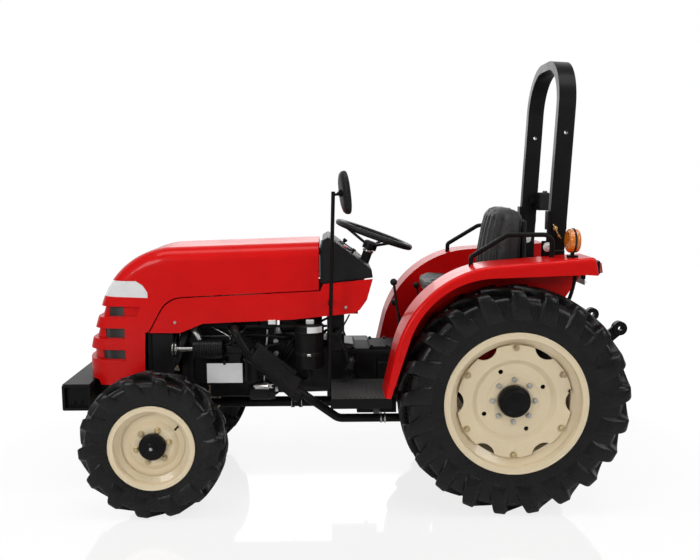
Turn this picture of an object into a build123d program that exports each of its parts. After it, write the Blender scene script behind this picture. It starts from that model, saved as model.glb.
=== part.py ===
"""Compact four-wheel-drive farm tractor with an open station and a folding roll-over hoop.

Modelling frame: X runs rearwards with X = 0 at the rear axle, Y runs to the tractor's right,
Z is up with Z = 0 on the ground.  place() moves every piece so that the finished tractor's
box is centred on the origin in X and Y.  Millimetres throughout.
"""
from build123d import *
from collections import namedtuple
import math
import os

# ---------------------------------------------------------------- driving dimensions
INCH = 25.4
WHEELBASE = 1636
NOSE_REACH = 2111            # rear axle to the front of the weight carrier
RUN_GAP = 0.3                # between a turning shaft and its bore
MOVE_GAP = 6.0               # between a moving piece and its neighbours

REAR_TYRE_R = 525
REAR_TYRE_W = 241
REAR_BEAD_R = 24 * INCH / 2
REAR_RIM_W = 8 * INCH
REAR_TRACK_HALF = 430
REAR_FLANGE_H = 22

FRONT_TYRE_R = 332
FRONT_TYRE_W = 160
FRONT_BEAD_R = 14 * INCH / 2
FRONT_RIM_W = 5 * INCH
FRONT_FLANGE_H = 17

RIM_T = 6
DISC_T = 8
KINGPIN_HALF = 350
FRONT_TRACK_HALF = KINGPIN_HALF + 111
STEER_ARM = 160
AXLE_TUBE_Z = 405

SHEET = 4
HOOD_REAR_X = -888
HOOD_TOP_Z = 1229
HOOD_HALF_W = 240
HOOD_EDGE_R = 70
SEAM = 5

ROPS_Y = 272
ROPS_W = 40
ROPS_D = 80
ROPS_TOP_Z = 2087
ROPS_LEAN = math.degrees(0.045)
ROPS_HINGE = (225, 1206)     # X, Z of the folding pin
ROPS_BEND_R = 190

FENDER_IN_Y = 298
FENDER_OUT_Y = 507
PLATFORM_Z = 546
PLATFORM_OUT_Y = 500

STEERING_CENTRE = (-613, 1250)
STEERING_TILT = 19.7
STEERING_R = 188

LINK_PIVOT = (30, 330)
ROCK_SHAFT = (100, 720)
LIFT_ARM = 280
HITCH_ANGLE = 41.1           # lower links above the level, parked raised
LINK_LENGTH = 723
LINK_Y = 200
BALL_R = 34

TAIL_REACH = LINK_PIVOT[0] + LINK_LENGTH * math.cos(math.radians(HITCH_ANGLE)) + BALL_R
SHIFT_X = (NOSE_REACH - TAIL_REACH) / 2

FRONT_AXLE_X = -WHEELBASE
HOOD_FRONT_X = -NOSE_REACH + 84
ENGINE_X = (HOOD_FRONT_X + 467, HOOD_FRONT_X + 927)

os.makedirs("parts", exist_ok=True)


# ---------------------------------------------------------------- helpers
def place(name, shape):
    """Move a piece into the part's own frame and write it as one node."""
    export_step(Pos(SHIFT_X, 0, 0) * shape, f"parts/{name}.step")


def flip(shape):
    """The same piece on the tractor's other side."""
    return mirror(shape, about=Plane.XZ)


def place_pair(name, left):
    """Write a piece of the left side and its mirror image."""
    place(f"{name}_left", left)
    place(f"{name}_right", flip(left))


def both(left):
    """Two separate solids of one node, left and right."""
    return Compound([left, flip(left)])


def side_prism(outline, y_low, y_high):
    """A prism between two values of Y with an outline given in X and Z."""
    face = Plane.XZ * make_face(outline)
    return Pos(0, y_high, 0) * extrude(face, amount=y_high - y_low)


def plan_prism(outline, z_low, z_high):
    """A prism between two heights with an outline given in X and Y."""
    return Pos(0, 0, z_low) * extrude(make_face(outline), amount=z_high - z_low)


def closed(*points):
    """A closed outline of straight lines."""
    return Polyline(*points, close=True)


def block(x, y, z):
    """A box from three (low, high) pairs."""
    size = [high - low for low, high in (x, y, z)]
    centre = [(high + low) / 2 for low, high in (x, y, z)]
    return Pos(*centre) * Box(*size)


def rod(radius, start, end):
    """A round bar between two points."""
    run = Vector(*end) - Vector(*start)
    return Solid.make_cylinder(radius, run.length, Plane(origin=start, z_dir=run))


def cross_rod(radius, x, z, y_low, y_high):
    """A round bar along Y."""
    return rod(radius, (x, y_low, z), (x, y_high, z))


def pipe(radius, points, bends):
    """A round tube along straight runs joined by tangent arcs."""
    path = FilletPolyline(*points, radius=bends)
    section = Plane(origin=path @ 0, z_dir=path % 0) * Circle(radius)
    return sweep(section, path=path)


def spun(outline, x, y, z):
    """A turned piece about an axis along Y; the outline is given in (Y, radius)."""
    ring = revolve(Plane.YZ * make_face(outline), axis=Axis.Y)
    return Pos(x, y, z) * ring


def fuse(*shapes):
    """One solid from pieces that overlap."""
    whole = shapes[0]
    for shape in shapes[1:]:
        whole = whole + shape
    return whole


# ---------------------------------------------------------------- tyres
Tread = namedtuple("Tread", "height count sweep thick")
Station = namedtuple("Station", "low_y low_r high_y high_r lean thick")
FOOT_HALF = 0.6              # half a lug at its foot and at its tip, in lug thicknesses
TIP_HALF = 0.4
TREADS = {
    # lug height, lugs on each side, sweep to the shoulder in radians, lug thickness
    "rear": Tread(34, 21, 0.34, 44),
    "front": Tread(26, 14, 0.46, 36),
}


def facets(a, b, c, d):
    """Two triangles on four corners that needn't lie flat; corners may repeat."""
    threes = [three for three in ((a, b, c), (a, c, d)) if len(set(three)) == 3]
    return [Face(Wire.make_polygon([Vector(*point) for point in three])) for three in threes]


def tyre_stations(radius, width, bead, rim_w, flange_h, tread):
    """Sections of one side from the middle of the tread to the bead, at a lug's foot and tip."""
    half = width / 2
    seat = rim_w / 2 - 1
    lip = bead + flange_h + 3
    base = radius - tread.height
    wall = base - lip
    lean, thick = -tread.sweep, 1.15 * tread.thick
    bead_r = (bead + RUN_GAP) / math.cos(FOOT_HALF * thick / bead)
    return [
        # low y, low r, high y, high r, lean, thickness
        Station(0.04 * width, base, 0.04 * width, radius, 0, 0.9 * tread.thick),
        Station(0.36 * width, base - 0.01 * radius, 0.41 * width, 0.988 * radius, 0.6 * lean, tread.thick),
        Station(0.43 * width, base - 0.3 * wall, half, base - 0.24 * wall, 0.9 * lean, thick),
        Station(0.47 * width, base - 0.62 * wall, 0.47 * width, base - 0.62 * wall, lean, thick),
        Station(seat, lip, seat, lip, lean, thick),
        Station(seat, bead_r, seat, bead_r, lean, thick),
    ]


def lug_ring(station, turns, hand):
    """Foot and tip points of every lug of one side, in their order round the tyre."""
    low = (station.low_y, station.low_r)
    high = (station.high_y, station.high_r)
    ring = []
    for turn in turns:
        for side, point in ((-1, low), (-1, high), (1, high), (1, low)):
            spread = FOOT_HALF if point == low else TIP_HALF
            angle = turn + station.lean + side * spread * station.thick / station.low_r
            y, r = point
            ring.append((r * math.cos(angle), hand * y, r * math.sin(angle)))
    return ring


def joining_band(right, left):
    """Band of triangles that joins the two sides across the tread or between the beads."""
    faces = []
    for at in range(0, len(right), 4):
        near, far, following = right[at], right[at + 3], right[(at + 4) % len(right)]
        before, across, beyond = left[at - 1], left[at], left[at + 3]
        faces += facets(near, far, across, before) + facets(far, following, beyond, across)
    return faces


def tyre(radius, width, bead, rim_w, flange_h, tread, hub):
    """Closed solid of flat facets: the carcass with the staggered lugs of both sides."""
    stations = tyre_stations(radius, width, bead, rim_w, flange_h, tread)
    pitch = 2 * math.pi / tread.count
    start = -math.pi / 2 - TIP_HALF * stations[0].thick / stations[0].low_r
    faces = []
    edges = []
    for hand, stagger in ((1, 0), (-1, pitch / 2)):
        turns = [start + stagger + pitch * number for number in range(tread.count)]
        rings = [lug_ring(station, turns, hand) for station in stations]
        for here, there in zip(rings, rings[1:]):
            for number in range(len(here)):
                after = (number + 1) % len(here)
                faces += facets(here[number], there[number], there[after], here[after])
        for number in range(0, len(here), 4):
            faces += facets(*rings[0][number:number + 4])
        edges.append((rings[0], rings[-1]))
    for right, left in zip(*edges):
        faces += joining_band(right, left)
    return Pos(*hub) * Solid(Shell(faces))


# ---------------------------------------------------------------- wheels
def rim(bead, rim_w, flange_h, drop, hub):
    """Rim with two flanges and a drop centre."""
    half = rim_w / 2
    tyre_side = [(half + 8, bead + flange_h), (half, bead + flange_h), (half, bead),
                 (half - 0.3 * half, bead), (half - 0.5 * half, bead - drop)]
    hub_side = [(half + 8, bead - RIM_T), (half - 0.3 * half - 3, bead - RIM_T),
                (half - 0.5 * half - 3, bead - drop - RIM_T)]
    outline = (tyre_side + [(-y, r) for y, r in reversed(tyre_side)]
               + [(-y, r) for y, r in hub_side] + list(reversed(hub_side)))
    return spun(closed(*outline), *hub)


REAR_DROP = 38
REAR_HUB = (0, -REAR_TRACK_HALF, REAR_TYRE_R)
REAR_DISC_Y = -35             # face of the disc, outboard of the wheel's middle plane
REAR_LOBES = 6
REAR_LOBE_BOLT_R = 250
REAR_DISC_R = 262
REAR_STEP_R = 175
REAR_STEP = 22
REAR_AXLE_SHAFT_R = 30
REAR_HUB_R = 73
TRUMPET_END_Y = 285

FRONT_DROP = 26
FRONT_HUB = (FRONT_AXLE_X, -FRONT_TRACK_HALF, FRONT_TYRE_R)
FRONT_DISC_Y = -24
FRONT_HUB_R = 60
FRONT_SHAFT_R = 18


def rear_disc():
    """Dished disc with scalloped edges between six lobes and four small holes."""
    step_y = REAR_DISC_Y - REAR_STEP
    profile = closed(
        (REAR_DISC_Y, REAR_AXLE_SHAFT_R), (REAR_DISC_Y, REAR_STEP_R),
        (step_y, REAR_STEP_R + REAR_STEP), (step_y, REAR_DISC_R),
        (step_y - DISC_T, REAR_DISC_R), (step_y - DISC_T, REAR_STEP_R + REAR_STEP - 4),
        (REAR_DISC_Y - DISC_T, REAR_STEP_R - 4), (REAR_DISC_Y - DISC_T, REAR_AXLE_SHAFT_R))
    disc = spun(profile, 0, 0, 0)
    for turn in range(REAR_LOBES):
        angle = math.radians(60 * turn)
        reach = REAR_DISC_R + 30
        at = (reach * math.cos(angle), 0, reach * math.sin(angle))
        disc = disc - Pos(*at) * Rot(90, 0, 0) * Cylinder(60, 200)
    for turn in range(4):
        angle = math.radians(25 + 90 * turn)
        at = (147 * math.cos(angle), 0, 147 * math.sin(angle))
        disc = disc - Pos(*at) * Rot(90, 0, 0) * Cylinder(11, 200)
    return disc


def rear_wheel():
    """Rim, the lugs inside it, and the disc whose lobes are bolted to them."""
    ring = rim(REAR_BEAD_R, REAR_RIM_W, REAR_FLANGE_H, REAR_DROP, (0, 0, 0))
    inner_r = REAR_BEAD_R - REAR_DROP - RIM_T
    lug_y = REAR_DISC_Y - REAR_STEP
    for turn in range(REAR_LOBES):
        lug = block((-26, 26), (lug_y, lug_y + 10), (REAR_LOBE_BOLT_R - 22, inner_r + 3))
        ring = ring + Rot(0, 60 * turn, 0) * lug
    return Pos(*REAR_HUB) * (ring + rear_disc())


def rear_hub():
    """Axle flange with its shaft into the trumpet and the black cap outside the disc."""
    shaft = cross_rod(REAR_AXLE_SHAFT_R - RUN_GAP, 0, 0, REAR_DISC_Y - 30, REAR_TRACK_HALF - 230)
    flange = cross_rod(120, 0, 0, REAR_DISC_Y, REAR_DISC_Y + 18)
    cap = cross_rod(REAR_HUB_R, 0, 0, REAR_DISC_Y - DISC_T - 38, REAR_DISC_Y - DISC_T)
    return Pos(*REAR_HUB) * fuse(shaft, flange, fillet(cap.edges().group_by(Axis.Y)[0], 12))


def front_wheel_rim():
    """Rim with its plain dished disc welded in."""
    ring = rim(FRONT_BEAD_R, FRONT_RIM_W, FRONT_FLANGE_H, FRONT_DROP, (0, 0, 0))
    inner_r = FRONT_BEAD_R - FRONT_DROP - RIM_T
    profile = closed(
        (FRONT_DISC_Y, FRONT_SHAFT_R + RUN_GAP), (FRONT_DISC_Y, 88), (FRONT_DISC_Y + 16, 112),
        (FRONT_DISC_Y + 16, inner_r + 3), (FRONT_DISC_Y + 16 - DISC_T, inner_r + 3),
        (FRONT_DISC_Y + 16 - DISC_T, 114), (FRONT_DISC_Y - DISC_T, 91),
        (FRONT_DISC_Y - DISC_T, FRONT_SHAFT_R + RUN_GAP))
    return Pos(*FRONT_HUB) * fuse(ring, spun(profile, 0, 0, 0))


def front_hub():
    """Hub flange and shaft inboard of the disc, black cap outboard."""
    shaft = cross_rod(FRONT_SHAFT_R, 0, 0, FRONT_DISC_Y - 20, FRONT_TRACK_HALF - KINGPIN_HALF - 28)
    flange = cross_rod(62, 0, 0, FRONT_DISC_Y, FRONT_DISC_Y + 22)
    cap = cross_rod(FRONT_HUB_R, 0, 0, FRONT_DISC_Y - DISC_T - 30, FRONT_DISC_Y - DISC_T)
    return Pos(*FRONT_HUB) * fuse(shaft, flange, fillet(cap.edges().group_by(Axis.Y)[0], 10))


place_pair("rear_tyre", tyre(REAR_TYRE_R, REAR_TYRE_W, REAR_BEAD_R, REAR_RIM_W,
                             REAR_FLANGE_H, TREADS["rear"], REAR_HUB))
place_pair("rear_wheel", rear_wheel())
place_pair("rear_hub", rear_hub())
place_pair("front_tyre", tyre(FRONT_TYRE_R, FRONT_TYRE_W, FRONT_BEAD_R, FRONT_RIM_W,
                              FRONT_FLANGE_H, TREADS["front"], FRONT_HUB))
place_pair("front_wheel", front_wheel_rim())
place_pair("front_hub", front_hub())

# ---------------------------------------------------------------- front axle and steering
AXLE_TUBE_R = 34
KINGPIN_R = 20
KINGPIN_BOSS_R = 48
KNUCKLE_TOP_Z = AXLE_TUBE_Z - AXLE_TUBE_R - MOVE_GAP - 3
KNUCKLE_LOW_Z = 270
ARM_T = 18
TIE_ROD_Z = 305
TIE_PIN_R = 8
DRIVE_SHAFT_Z = 392
RAIL_Y = (100, 130)
RAIL_Z = (485, 530)
AXLE_CASE_R = 75


def front_axle():
    """Axle tube, differential case and the two king-pin ends."""
    tube = cross_rod(AXLE_TUBE_R, FRONT_AXLE_X, AXLE_TUBE_Z, -KINGPIN_HALF, KINGPIN_HALF)
    case = cross_rod(AXLE_CASE_R, FRONT_AXLE_X, AXLE_TUBE_Z, -95, 95)
    cones = [Pos(FRONT_AXLE_X, side * 135, AXLE_TUBE_Z) * Rot(side * 90, 0, 0)
             * Cone(AXLE_TUBE_R, AXLE_CASE_R, 80) for side in (-1, 1)]
    nose = rod(40, (FRONT_AXLE_X, 0, DRIVE_SHAFT_Z), (FRONT_AXLE_X + 130, 0, DRIVE_SHAFT_Z))
    axle = fuse(tube, case, *cones, nose)
    for side in (-1, 1):
        top = (FRONT_AXLE_X, side * KINGPIN_HALF, AXLE_TUBE_Z + AXLE_TUBE_R + 8)
        boss_low = (FRONT_AXLE_X, side * KINGPIN_HALF, KNUCKLE_TOP_Z + MOVE_GAP)
        pin_low = (FRONT_AXLE_X, side * KINGPIN_HALF, KNUCKLE_LOW_Z + 40)
        axle = axle + rod(KINGPIN_BOSS_R, boss_low, top) + rod(KINGPIN_R, pin_low, boss_low)
    return axle


def knuckle():
    """Left final-drive case: turns on the king pin and carries wheel and steering arm."""
    x, y, z = FRONT_AXLE_X, -KINGPIN_HALF, FRONT_TYRE_R
    case = rod(50, (x, y, KNUCKLE_LOW_Z), (x, y, KNUCKLE_TOP_Z))
    hub = cross_rod(29, x, z, y - 68, y)
    arm_z = (KNUCKLE_LOW_Z, KNUCKLE_LOW_Z + ARM_T)
    arm = block((x, x + STEER_ARM), (y - 20, y + 20), arm_z)
    tip = rod(20, (x + STEER_ARM, y, arm_z[0]), (x + STEER_ARM, y, arm_z[1]))
    body = fuse(case, hub, arm, tip)
    pin_bore = rod(KINGPIN_R + RUN_GAP, (x, y, KNUCKLE_LOW_Z + 39), (x, y, KNUCKLE_TOP_Z + 1))
    shaft_bore = cross_rod(FRONT_SHAFT_R + RUN_GAP, x, z, y - 70, y - 27)
    tie_hole = rod(TIE_PIN_R + RUN_GAP, (x + STEER_ARM, y, arm_z[0] - 1),
                   (x + STEER_ARM, y, arm_z[1] + 1))
    return body - pin_bore - shaft_bore - tie_hole


def tie_rod():
    """Bar between the two steering arms, with a stud through each."""
    x = FRONT_AXLE_X + STEER_ARM
    bar = cross_rod(11, x, TIE_ROD_Z, -KINGPIN_HALF, KINGPIN_HALF)
    for side in (-1, 1):
        y = side * KINGPIN_HALF
        eye = rod(18, (x, y, KNUCKLE_LOW_Z + ARM_T + 1), (x, y, TIE_ROD_Z + 14))
        stud = rod(TIE_PIN_R, (x, y, KNUCKLE_LOW_Z - 8), (x, y, TIE_ROD_Z))
        bar = bar + eye + stud
    return bar


place("front_axle", front_axle())
place_pair("knuckle", knuckle())
place("tie_rod", tie_rod())

# ---------------------------------------------------------------- front frame and weight carrier
CARRIER_X = (-NOSE_REACH, -NOSE_REACH + 134)
CARRIER_HALF_W = 265
CARRIER_Z = (430, 554)


def weight_carrier():
    """Heavy front bar with sunk end panels and four bolt holes in its face."""
    bar = block(CARRIER_X, (-CARRIER_HALF_W, CARRIER_HALF_W), CARRIER_Z)
    bar = fillet(bar.edges().filter_by(Axis.Y), 8)
    for side in (-1, 1):
        deep = sorted((side * (CARRIER_HALF_W - 25), side * (CARRIER_HALF_W + 1)))
        sunk = block((CARRIER_X[0] + 12, CARRIER_X[1] - 12), deep,
                     (CARRIER_Z[0] + 12, CARRIER_Z[1] - 12))
        bar = bar - sunk
    middle = sum(CARRIER_Z) / 2
    for y in (-100, 100):
        for z in (middle - 35, middle + 35):
            bar = bar - rod(9, (CARRIER_X[0] - 1, y, z), (CARRIER_X[0] + 50, y, z))
    return bar


def front_frame():
    """Two rails from the engine to the weight carrier and the axle's two hangers."""
    low, high = RAIL_Y
    rails = [block((CARRIER_X[1], ENGINE_X[0] + 120), sorted((side * low, side * high)), RAIL_Z)
             for side in (-1, 1)]
    cross = [block((x, x + 40), (-high, high), RAIL_Z)
             for x in (CARRIER_X[1], FRONT_AXLE_X - 74, FRONT_AXLE_X + 136)]
    frame = fuse(*rails, *cross)
    for x in (FRONT_AXLE_X - 129, FRONT_AXLE_X + 136):
        hanger = block((x, x + 24), (-70, 70), (380, RAIL_Z[0] + 10))
        strap = block((x, x + 24), (-high, high), (RAIL_Z[0] - 25, RAIL_Z[0] + 10))
        frame = frame + hanger + strap
    bore = rod(40 + RUN_GAP, (FRONT_AXLE_X + 126, 0, DRIVE_SHAFT_Z), (FRONT_AXLE_X + 166, 0, DRIVE_SHAFT_Z))
    return frame - bore


place("weight_carrier", weight_carrier())
place("front_frame", front_frame())

# ---------------------------------------------------------------- engine and cooling
BLOCK_HALF_W = 150
RIB_H = 12
SUMP_Z = 443
BLOCK_Z = (520, 760)
HEAD_Z = 860
FAN_Z = 830


def engine_block():
    """Cylinder block with its sump, one closed heavy mass."""
    low = block((FRONT_AXLE_X + 206, ENGINE_X[1]), (-110, 110), (SUMP_Z, BLOCK_Z[0]))
    low = chamfer(low.edges().group_by(Axis.Z)[0], 18)
    main = block(ENGINE_X, (-BLOCK_HALF_W, BLOCK_HALF_W), BLOCK_Z)
    rib_half = BLOCK_HALF_W + RIB_H
    rib_z = (BLOCK_Z[0] + 20, BLOCK_Z[1] - 20)
    ribs = [block((x, x + 16), (-rib_half, rib_half), rib_z)
            for x in range(ENGINE_X[0] + 40, ENGINE_X[1] - 20, 110)]
    notch = block((ENGINE_X[0] - 1, ENGINE_X[0] + 121), (-BLOCK_HALF_W, BLOCK_HALF_W),
                  (RAIL_Z[0], RAIL_Z[1]))
    return fuse(main, low, *ribs) - notch


def engine_head():
    """Cylinder head with its rocker cover."""
    head = block((ENGINE_X[0] + 20, ENGINE_X[1] - 10), (-120, 120), (BLOCK_Z[1], HEAD_Z))
    cover = block((ENGINE_X[0] + 40, ENGINE_X[1] - 40), (-80, 80), (HEAD_Z, HEAD_Z + 80))
    return head + fillet(cover.edges().filter_by(Axis.Z), 25)


def radiator():
    """Radiator core in its frame, with the fan shroud behind it."""
    core_x = (ENGINE_X[0] - 149, ENGINE_X[0] - 100)
    core = block(core_x, (-190, 190), (RAIL_Z[1], 1110))
    shroud = block((core_x[1], core_x[1] + 40), (-175, 175), (620, 1060))
    opening = rod(165, (core_x[1] - 1, 0, FAN_Z), (core_x[1] + 41, 0, FAN_Z))
    return core + (shroud - opening)


def cooling_fan():
    """Fan and its pulley on the engine's front."""
    hub = rod(35, (ENGINE_X[0] - 90, 0, FAN_Z), (ENGINE_X[0], 0, FAN_Z))
    boss = block((ENGINE_X[0] - 30, ENGINE_X[0] + 20), (-60, 60), (BLOCK_Z[1], 900))
    fan = hub + boss
    for turn in range(6):
        blade = Pos(0, 0, 90) * Rot(0, 0, 25) * Box(4, 60, 130)
        fan = fan + Pos(ENGINE_X[0] - 75, 0, FAN_Z) * Rot(60 * turn, 0, 0) * blade
    return fan - block((ENGINE_X[0], ENGINE_X[0] + 60), (-130, 130), (BLOCK_Z[1] - 50, 950))


def engine_side():
    """Alternator, pump, filter and a blank plate on the engine's left flank."""
    front, rear = ENGINE_X
    wall = -BLOCK_HALF_W - RIB_H
    alternator = rod(44, (front + 70, -212, 716), (front + 208, -212, 716))
    bracket = block((front + 95, front + 165), (-200, wall), (700, 728))
    oil_filter = rod(38, (rear - 110, -200, 560), (rear - 110, -200, 680))
    filter_arm = block((rear - 140, rear - 80), (-200, wall), (660, 690))
    pump = block((front + 225, front + 298), (-205, wall), (676, 735))
    plate = block((front + 131, front + 299), (-206, -200), (548, 641))
    plate_stay = block((front + 160, front + 280), (-200, wall), (590, 602))
    return [fuse(alternator, bracket), pump, fuse(plate, plate_stay), fuse(oil_filter, filter_arm)]


place("engine", engine_block() + engine_head())
place("radiator", radiator())
place("engine_fittings", Compound([*engine_side(), cooling_fan()]))

# ---------------------------------------------------------------- exhaust
EXHAUST_Y = -280


def exhaust():
    """Silencer with a slimmer chamber beside it, slung down the left flank to a tail pipe."""
    y = EXHAUST_Y
    port_x = ENGINE_X[0] + 270
    top = (port_x + 68, y, 708)
    port = block((port_x - 45, port_x + 45), (-132, -120), (788, 850))
    inlet = pipe(22, [(port_x, -120, 816), (port_x, y, 816), top], [45])
    collar = rod(39, top, (top[0] + 8, y, 701))
    silencer = rod(31, top, (-984, y, 497))
    chamber = rod(18, (top[0] + 33, y + 6, 748), (-1003, y + 6, 604))
    tail = pipe(20, [(-1008, y, 540), (-797, y, 389), (-499, y, 389)], [60])
    return fuse(chamfer(silencer.edges(), 8), collar, inlet, port, chamber, tail)


place("exhaust", exhaust())

# ---------------------------------------------------------------- driveline
CLUTCH_X = (ENGINE_X[1], -720)
GEARBOX_X = (-720, -170)
DIFF_X = (-170, 160)
DIFF_HALF_W = 150


def clutch_housing():
    """Bell housing that narrows from the engine to the gearbox."""
    front = Plane.YZ.offset(CLUTCH_X[0]) * Pos(0, 620) * RectangleRounded(300, 300, 40)
    back = Plane.YZ.offset(CLUTCH_X[1]) * Pos(0, 590) * RectangleRounded(240, 240, 40)
    return loft([front, back])


def gearbox():
    """Gearbox case with the front-drive case under it."""
    case = block(GEARBOX_X, (-125, 125), (440, 690))
    case = fillet(case.edges().filter_by(Axis.X), 25)
    drop = block((-700, -500), (-70, 70), (350, 460))
    ribs = [block((x, x + 14), (-135, 135), (480, 650)) for x in (-620, -480, -340)]
    bore = rod(26 + RUN_GAP, (-701, 0, DRIVE_SHAFT_Z), (-660, 0, DRIVE_SHAFT_Z))
    return fuse(case, drop, *ribs) - bore


def rear_axle_housing():
    """Differential case, axle trumpets, link lugs, drawbar hanger and lift cover."""
    case = block(DIFF_X, (-DIFF_HALF_W, DIFF_HALF_W), (380, 690))
    case = fillet(case.edges().filter_by(Axis.Y), 30)
    z = REAR_TYRE_R
    trumpets = cross_rod(48, 0, z, -TRUMPET_END_Y, TRUMPET_END_Y)
    flanges = [cross_rod(70, 0, z, *sorted((side * 262, side * TRUMPET_END_Y))) for side in (-1, 1)]
    lift = block((-110, 150), (-DIFF_HALF_W + 10, DIFF_HALF_W - 10), (680, 790))
    lift = fillet(lift.edges().filter_by(Axis.Y), 20)
    housing = fuse(case, trumpets, *flanges, lift)
    for side in (-1, 1):
        for low, high in ((168, 186), (214, 232)):
            span = sorted((side * low, side * high))
            housing = housing + block((-5, 65), span, (300, z))
        housing = housing + cross_rod(12, *LINK_PIVOT, *sorted((side * 168, side * 232)))
    shaft_bore = cross_rod(REAR_AXLE_SHAFT_R, 0, z, -TRUMPET_END_Y - 1, -194)
    rock_bore = cross_rod(22 + RUN_GAP, *ROCK_SHAFT, -DIFF_HALF_W, DIFF_HALF_W)
    return housing - shaft_bore - flip(shaft_bore) - rock_bore


def top_link_bracket():
    """Lug for the top link, bolted to the back of the axle housing."""
    plate = block((DIFF_X[1], DIFF_X[1] + 14), (-60, 60), (520, 660))
    lug = block((DIFF_X[1], DIFF_X[1] + 60), (-20, 20), (570, 630))
    return plate + lug - cross_rod(9.65, DIFF_X[1] + 40, 600, -30, 30)


place("clutch_housing", clutch_housing())
place("gearbox", gearbox())
place("rear_axle_housing", rear_axle_housing() + top_link_bracket())


def drive_shaft():
    """Tube from the gearbox to the front axle, with its two collars."""
    z = DRIVE_SHAFT_Z
    tube_start = FRONT_AXLE_X + 241
    tube = rod(26, (tube_start, 0, z), (-662, 0, z))
    neck = rod(18, (FRONT_AXLE_X + 130, 0, z), (tube_start, 0, z))
    collars = [rod(31, (x, 0, z), (x + 18, 0, z)) for x in (-1036, -996)]
    return fuse(tube, neck, *collars)


place("drive_shaft", drive_shaft())

# ---------------------------------------------------------------- hitch, drawbar and power take-off
def lift_shaft():
    """Rock shaft with its two lift arms and their pins."""
    x, z = ROCK_SHAFT
    angle = math.radians(HITCH_ANGLE)
    tip = (x + LIFT_ARM * math.cos(angle), z + LIFT_ARM * math.sin(angle))
    shaft = cross_rod(22, x, z, -223, 223)
    arms = [shaft]
    for side in (-1, 1):
        y = side * 215
        span = sorted((side * 207, side * 223))
        arms.append(cross_rod(38, x, z, *sorted((side * 190, side * 223))))
        arms.append(cross_rod(20, *tip, *span))
        bar = Pos(x, y, z) * Rot(0, -HITCH_ANGLE, 0) * Pos(LIFT_ARM / 2, 0, 0) * Box(LIFT_ARM, 16, 38)
        arms.append(bar)
        arms.append(cross_rod(9, *tip, *sorted((side * 207, side * 246))))
    return fuse(*arms)


def hitch_point(pivot, length):
    """A point along a bar that leaves a pivot at the parked hitch angle."""
    angle = math.radians(HITCH_ANGLE)
    return pivot[0] + length * math.cos(angle), pivot[1] + length * math.sin(angle)


def lower_link():
    """Left lower link: flat bar with an eye at the pivot and a ball end at the implement."""
    x, z = LINK_PIVOT
    y = -LINK_Y
    ball = hitch_point(LINK_PIVOT, LINK_LENGTH)
    rod_pin = hitch_point(LINK_PIVOT, LIFT_ARM)
    bar = Pos(x, y, z) * Rot(0, -HITCH_ANGLE, 0) * Pos(LINK_LENGTH / 2, 0, 0) * Box(LINK_LENGTH, 16, 56)
    eye = cross_rod(30, x, z, y - 12, y + 12)
    end = cross_rod(BALL_R, *ball, y - 17.5, y + 17.5)
    pin = cross_rod(9, *rod_pin, y - 46, y)
    link = fuse(bar, eye, end, pin)
    link = link - cross_rod(12 + RUN_GAP, x, z, y - 20, y + 20)
    return link - cross_rod(11.1, *ball, y - 30, y + 30)


def lift_rod():
    """Left lift rod between the lift arm's pin and the lower link's pin."""
    top = hitch_point(ROCK_SHAFT, LIFT_ARM)
    low = hitch_point(LINK_PIVOT, LIFT_ARM)
    y = -235
    bar = rod(11, (low[0], y, low[1]), (top[0], y, top[1]))
    eyes = [cross_rod(20, *at, y - 9, y + 9) for at in (top, low)]
    barrel = rod(16, (low[0] * 0.7 + top[0] * 0.3, y, low[1] * 0.7 + top[1] * 0.3),
                 (low[0] * 0.35 + top[0] * 0.65, y, low[1] * 0.35 + top[1] * 0.65))
    body = fuse(bar, *eyes, barrel)
    for at in (top, low):
        body = body - cross_rod(9 + RUN_GAP, *at, y - 30, y + 30)
    return body


def drawbar():
    """Drawbar under the axle housing, with its pin hole."""
    bar = block((-60, 340), (-30, 30), (300, 325))
    hanger = block((60, 130), (-45, 45), (290, 380))
    slot = block((59, 131), (-30, 30), (300, 325))
    hole = rod(13, (305, 0, 290), (305, 0, 340))
    return (bar - hole) + (hanger - slot)


place("lift_shaft", lift_shaft())
place_pair("lower_link", lower_link())
place_pair("lift_rod", lift_rod())
place("drawbar", drawbar())
place("pto_shaft", rod(17.5, (DIFF_X[1], 0, 450), (DIFF_X[1] + 78, 0, 450)))

# ---------------------------------------------------------------- hood
HOOD_HINGE = (-905, 1215)
DASH_FRONT_X = -872
HOOD_LOW_Z = 480
NOSE_R = 140
SEAM_CORNER = (HOOD_FRONT_X + 418, 968)
SEAM_REAR_Z = 1003
SEAM_FOOT = (HOOD_FRONT_X + 327, 803)
SEAM_R = 125
LENS_GAP = 1
PAST_NOSE_X = HOOD_FRONT_X - 173
GROOVE_DEPTH = 20
LINING = 3
WINDOW_END_X = HOOD_FRONT_X + 207
GROOVES = (
    # low Z, high Z, lean of the end, end of the groove and front of its windows behind the nose
    (872, 924, 26, 268, 137),
    (766, 818, 0, 212, 114),
    (662, 713, 0, 212, 99),
)


def hood_plan(inset, rear_x):
    """Plan of the bodywork: almost straight sides and a rounded nose."""
    half = HOOD_HALF_W - inset
    front = HOOD_FRONT_X + inset
    right = FilletPolyline((rear_x, half), (front + 387 - inset, half - 6), (front + 40, half - 34),
                           (front - 8, 0), radius=[1500, NOSE_R - inset])
    back = Line((rear_x, half), (rear_x, -half))
    return plan_prism(right + mirror(right, about=Plane.XZ) + back, 0, HOOD_TOP_Z + 100)


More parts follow.
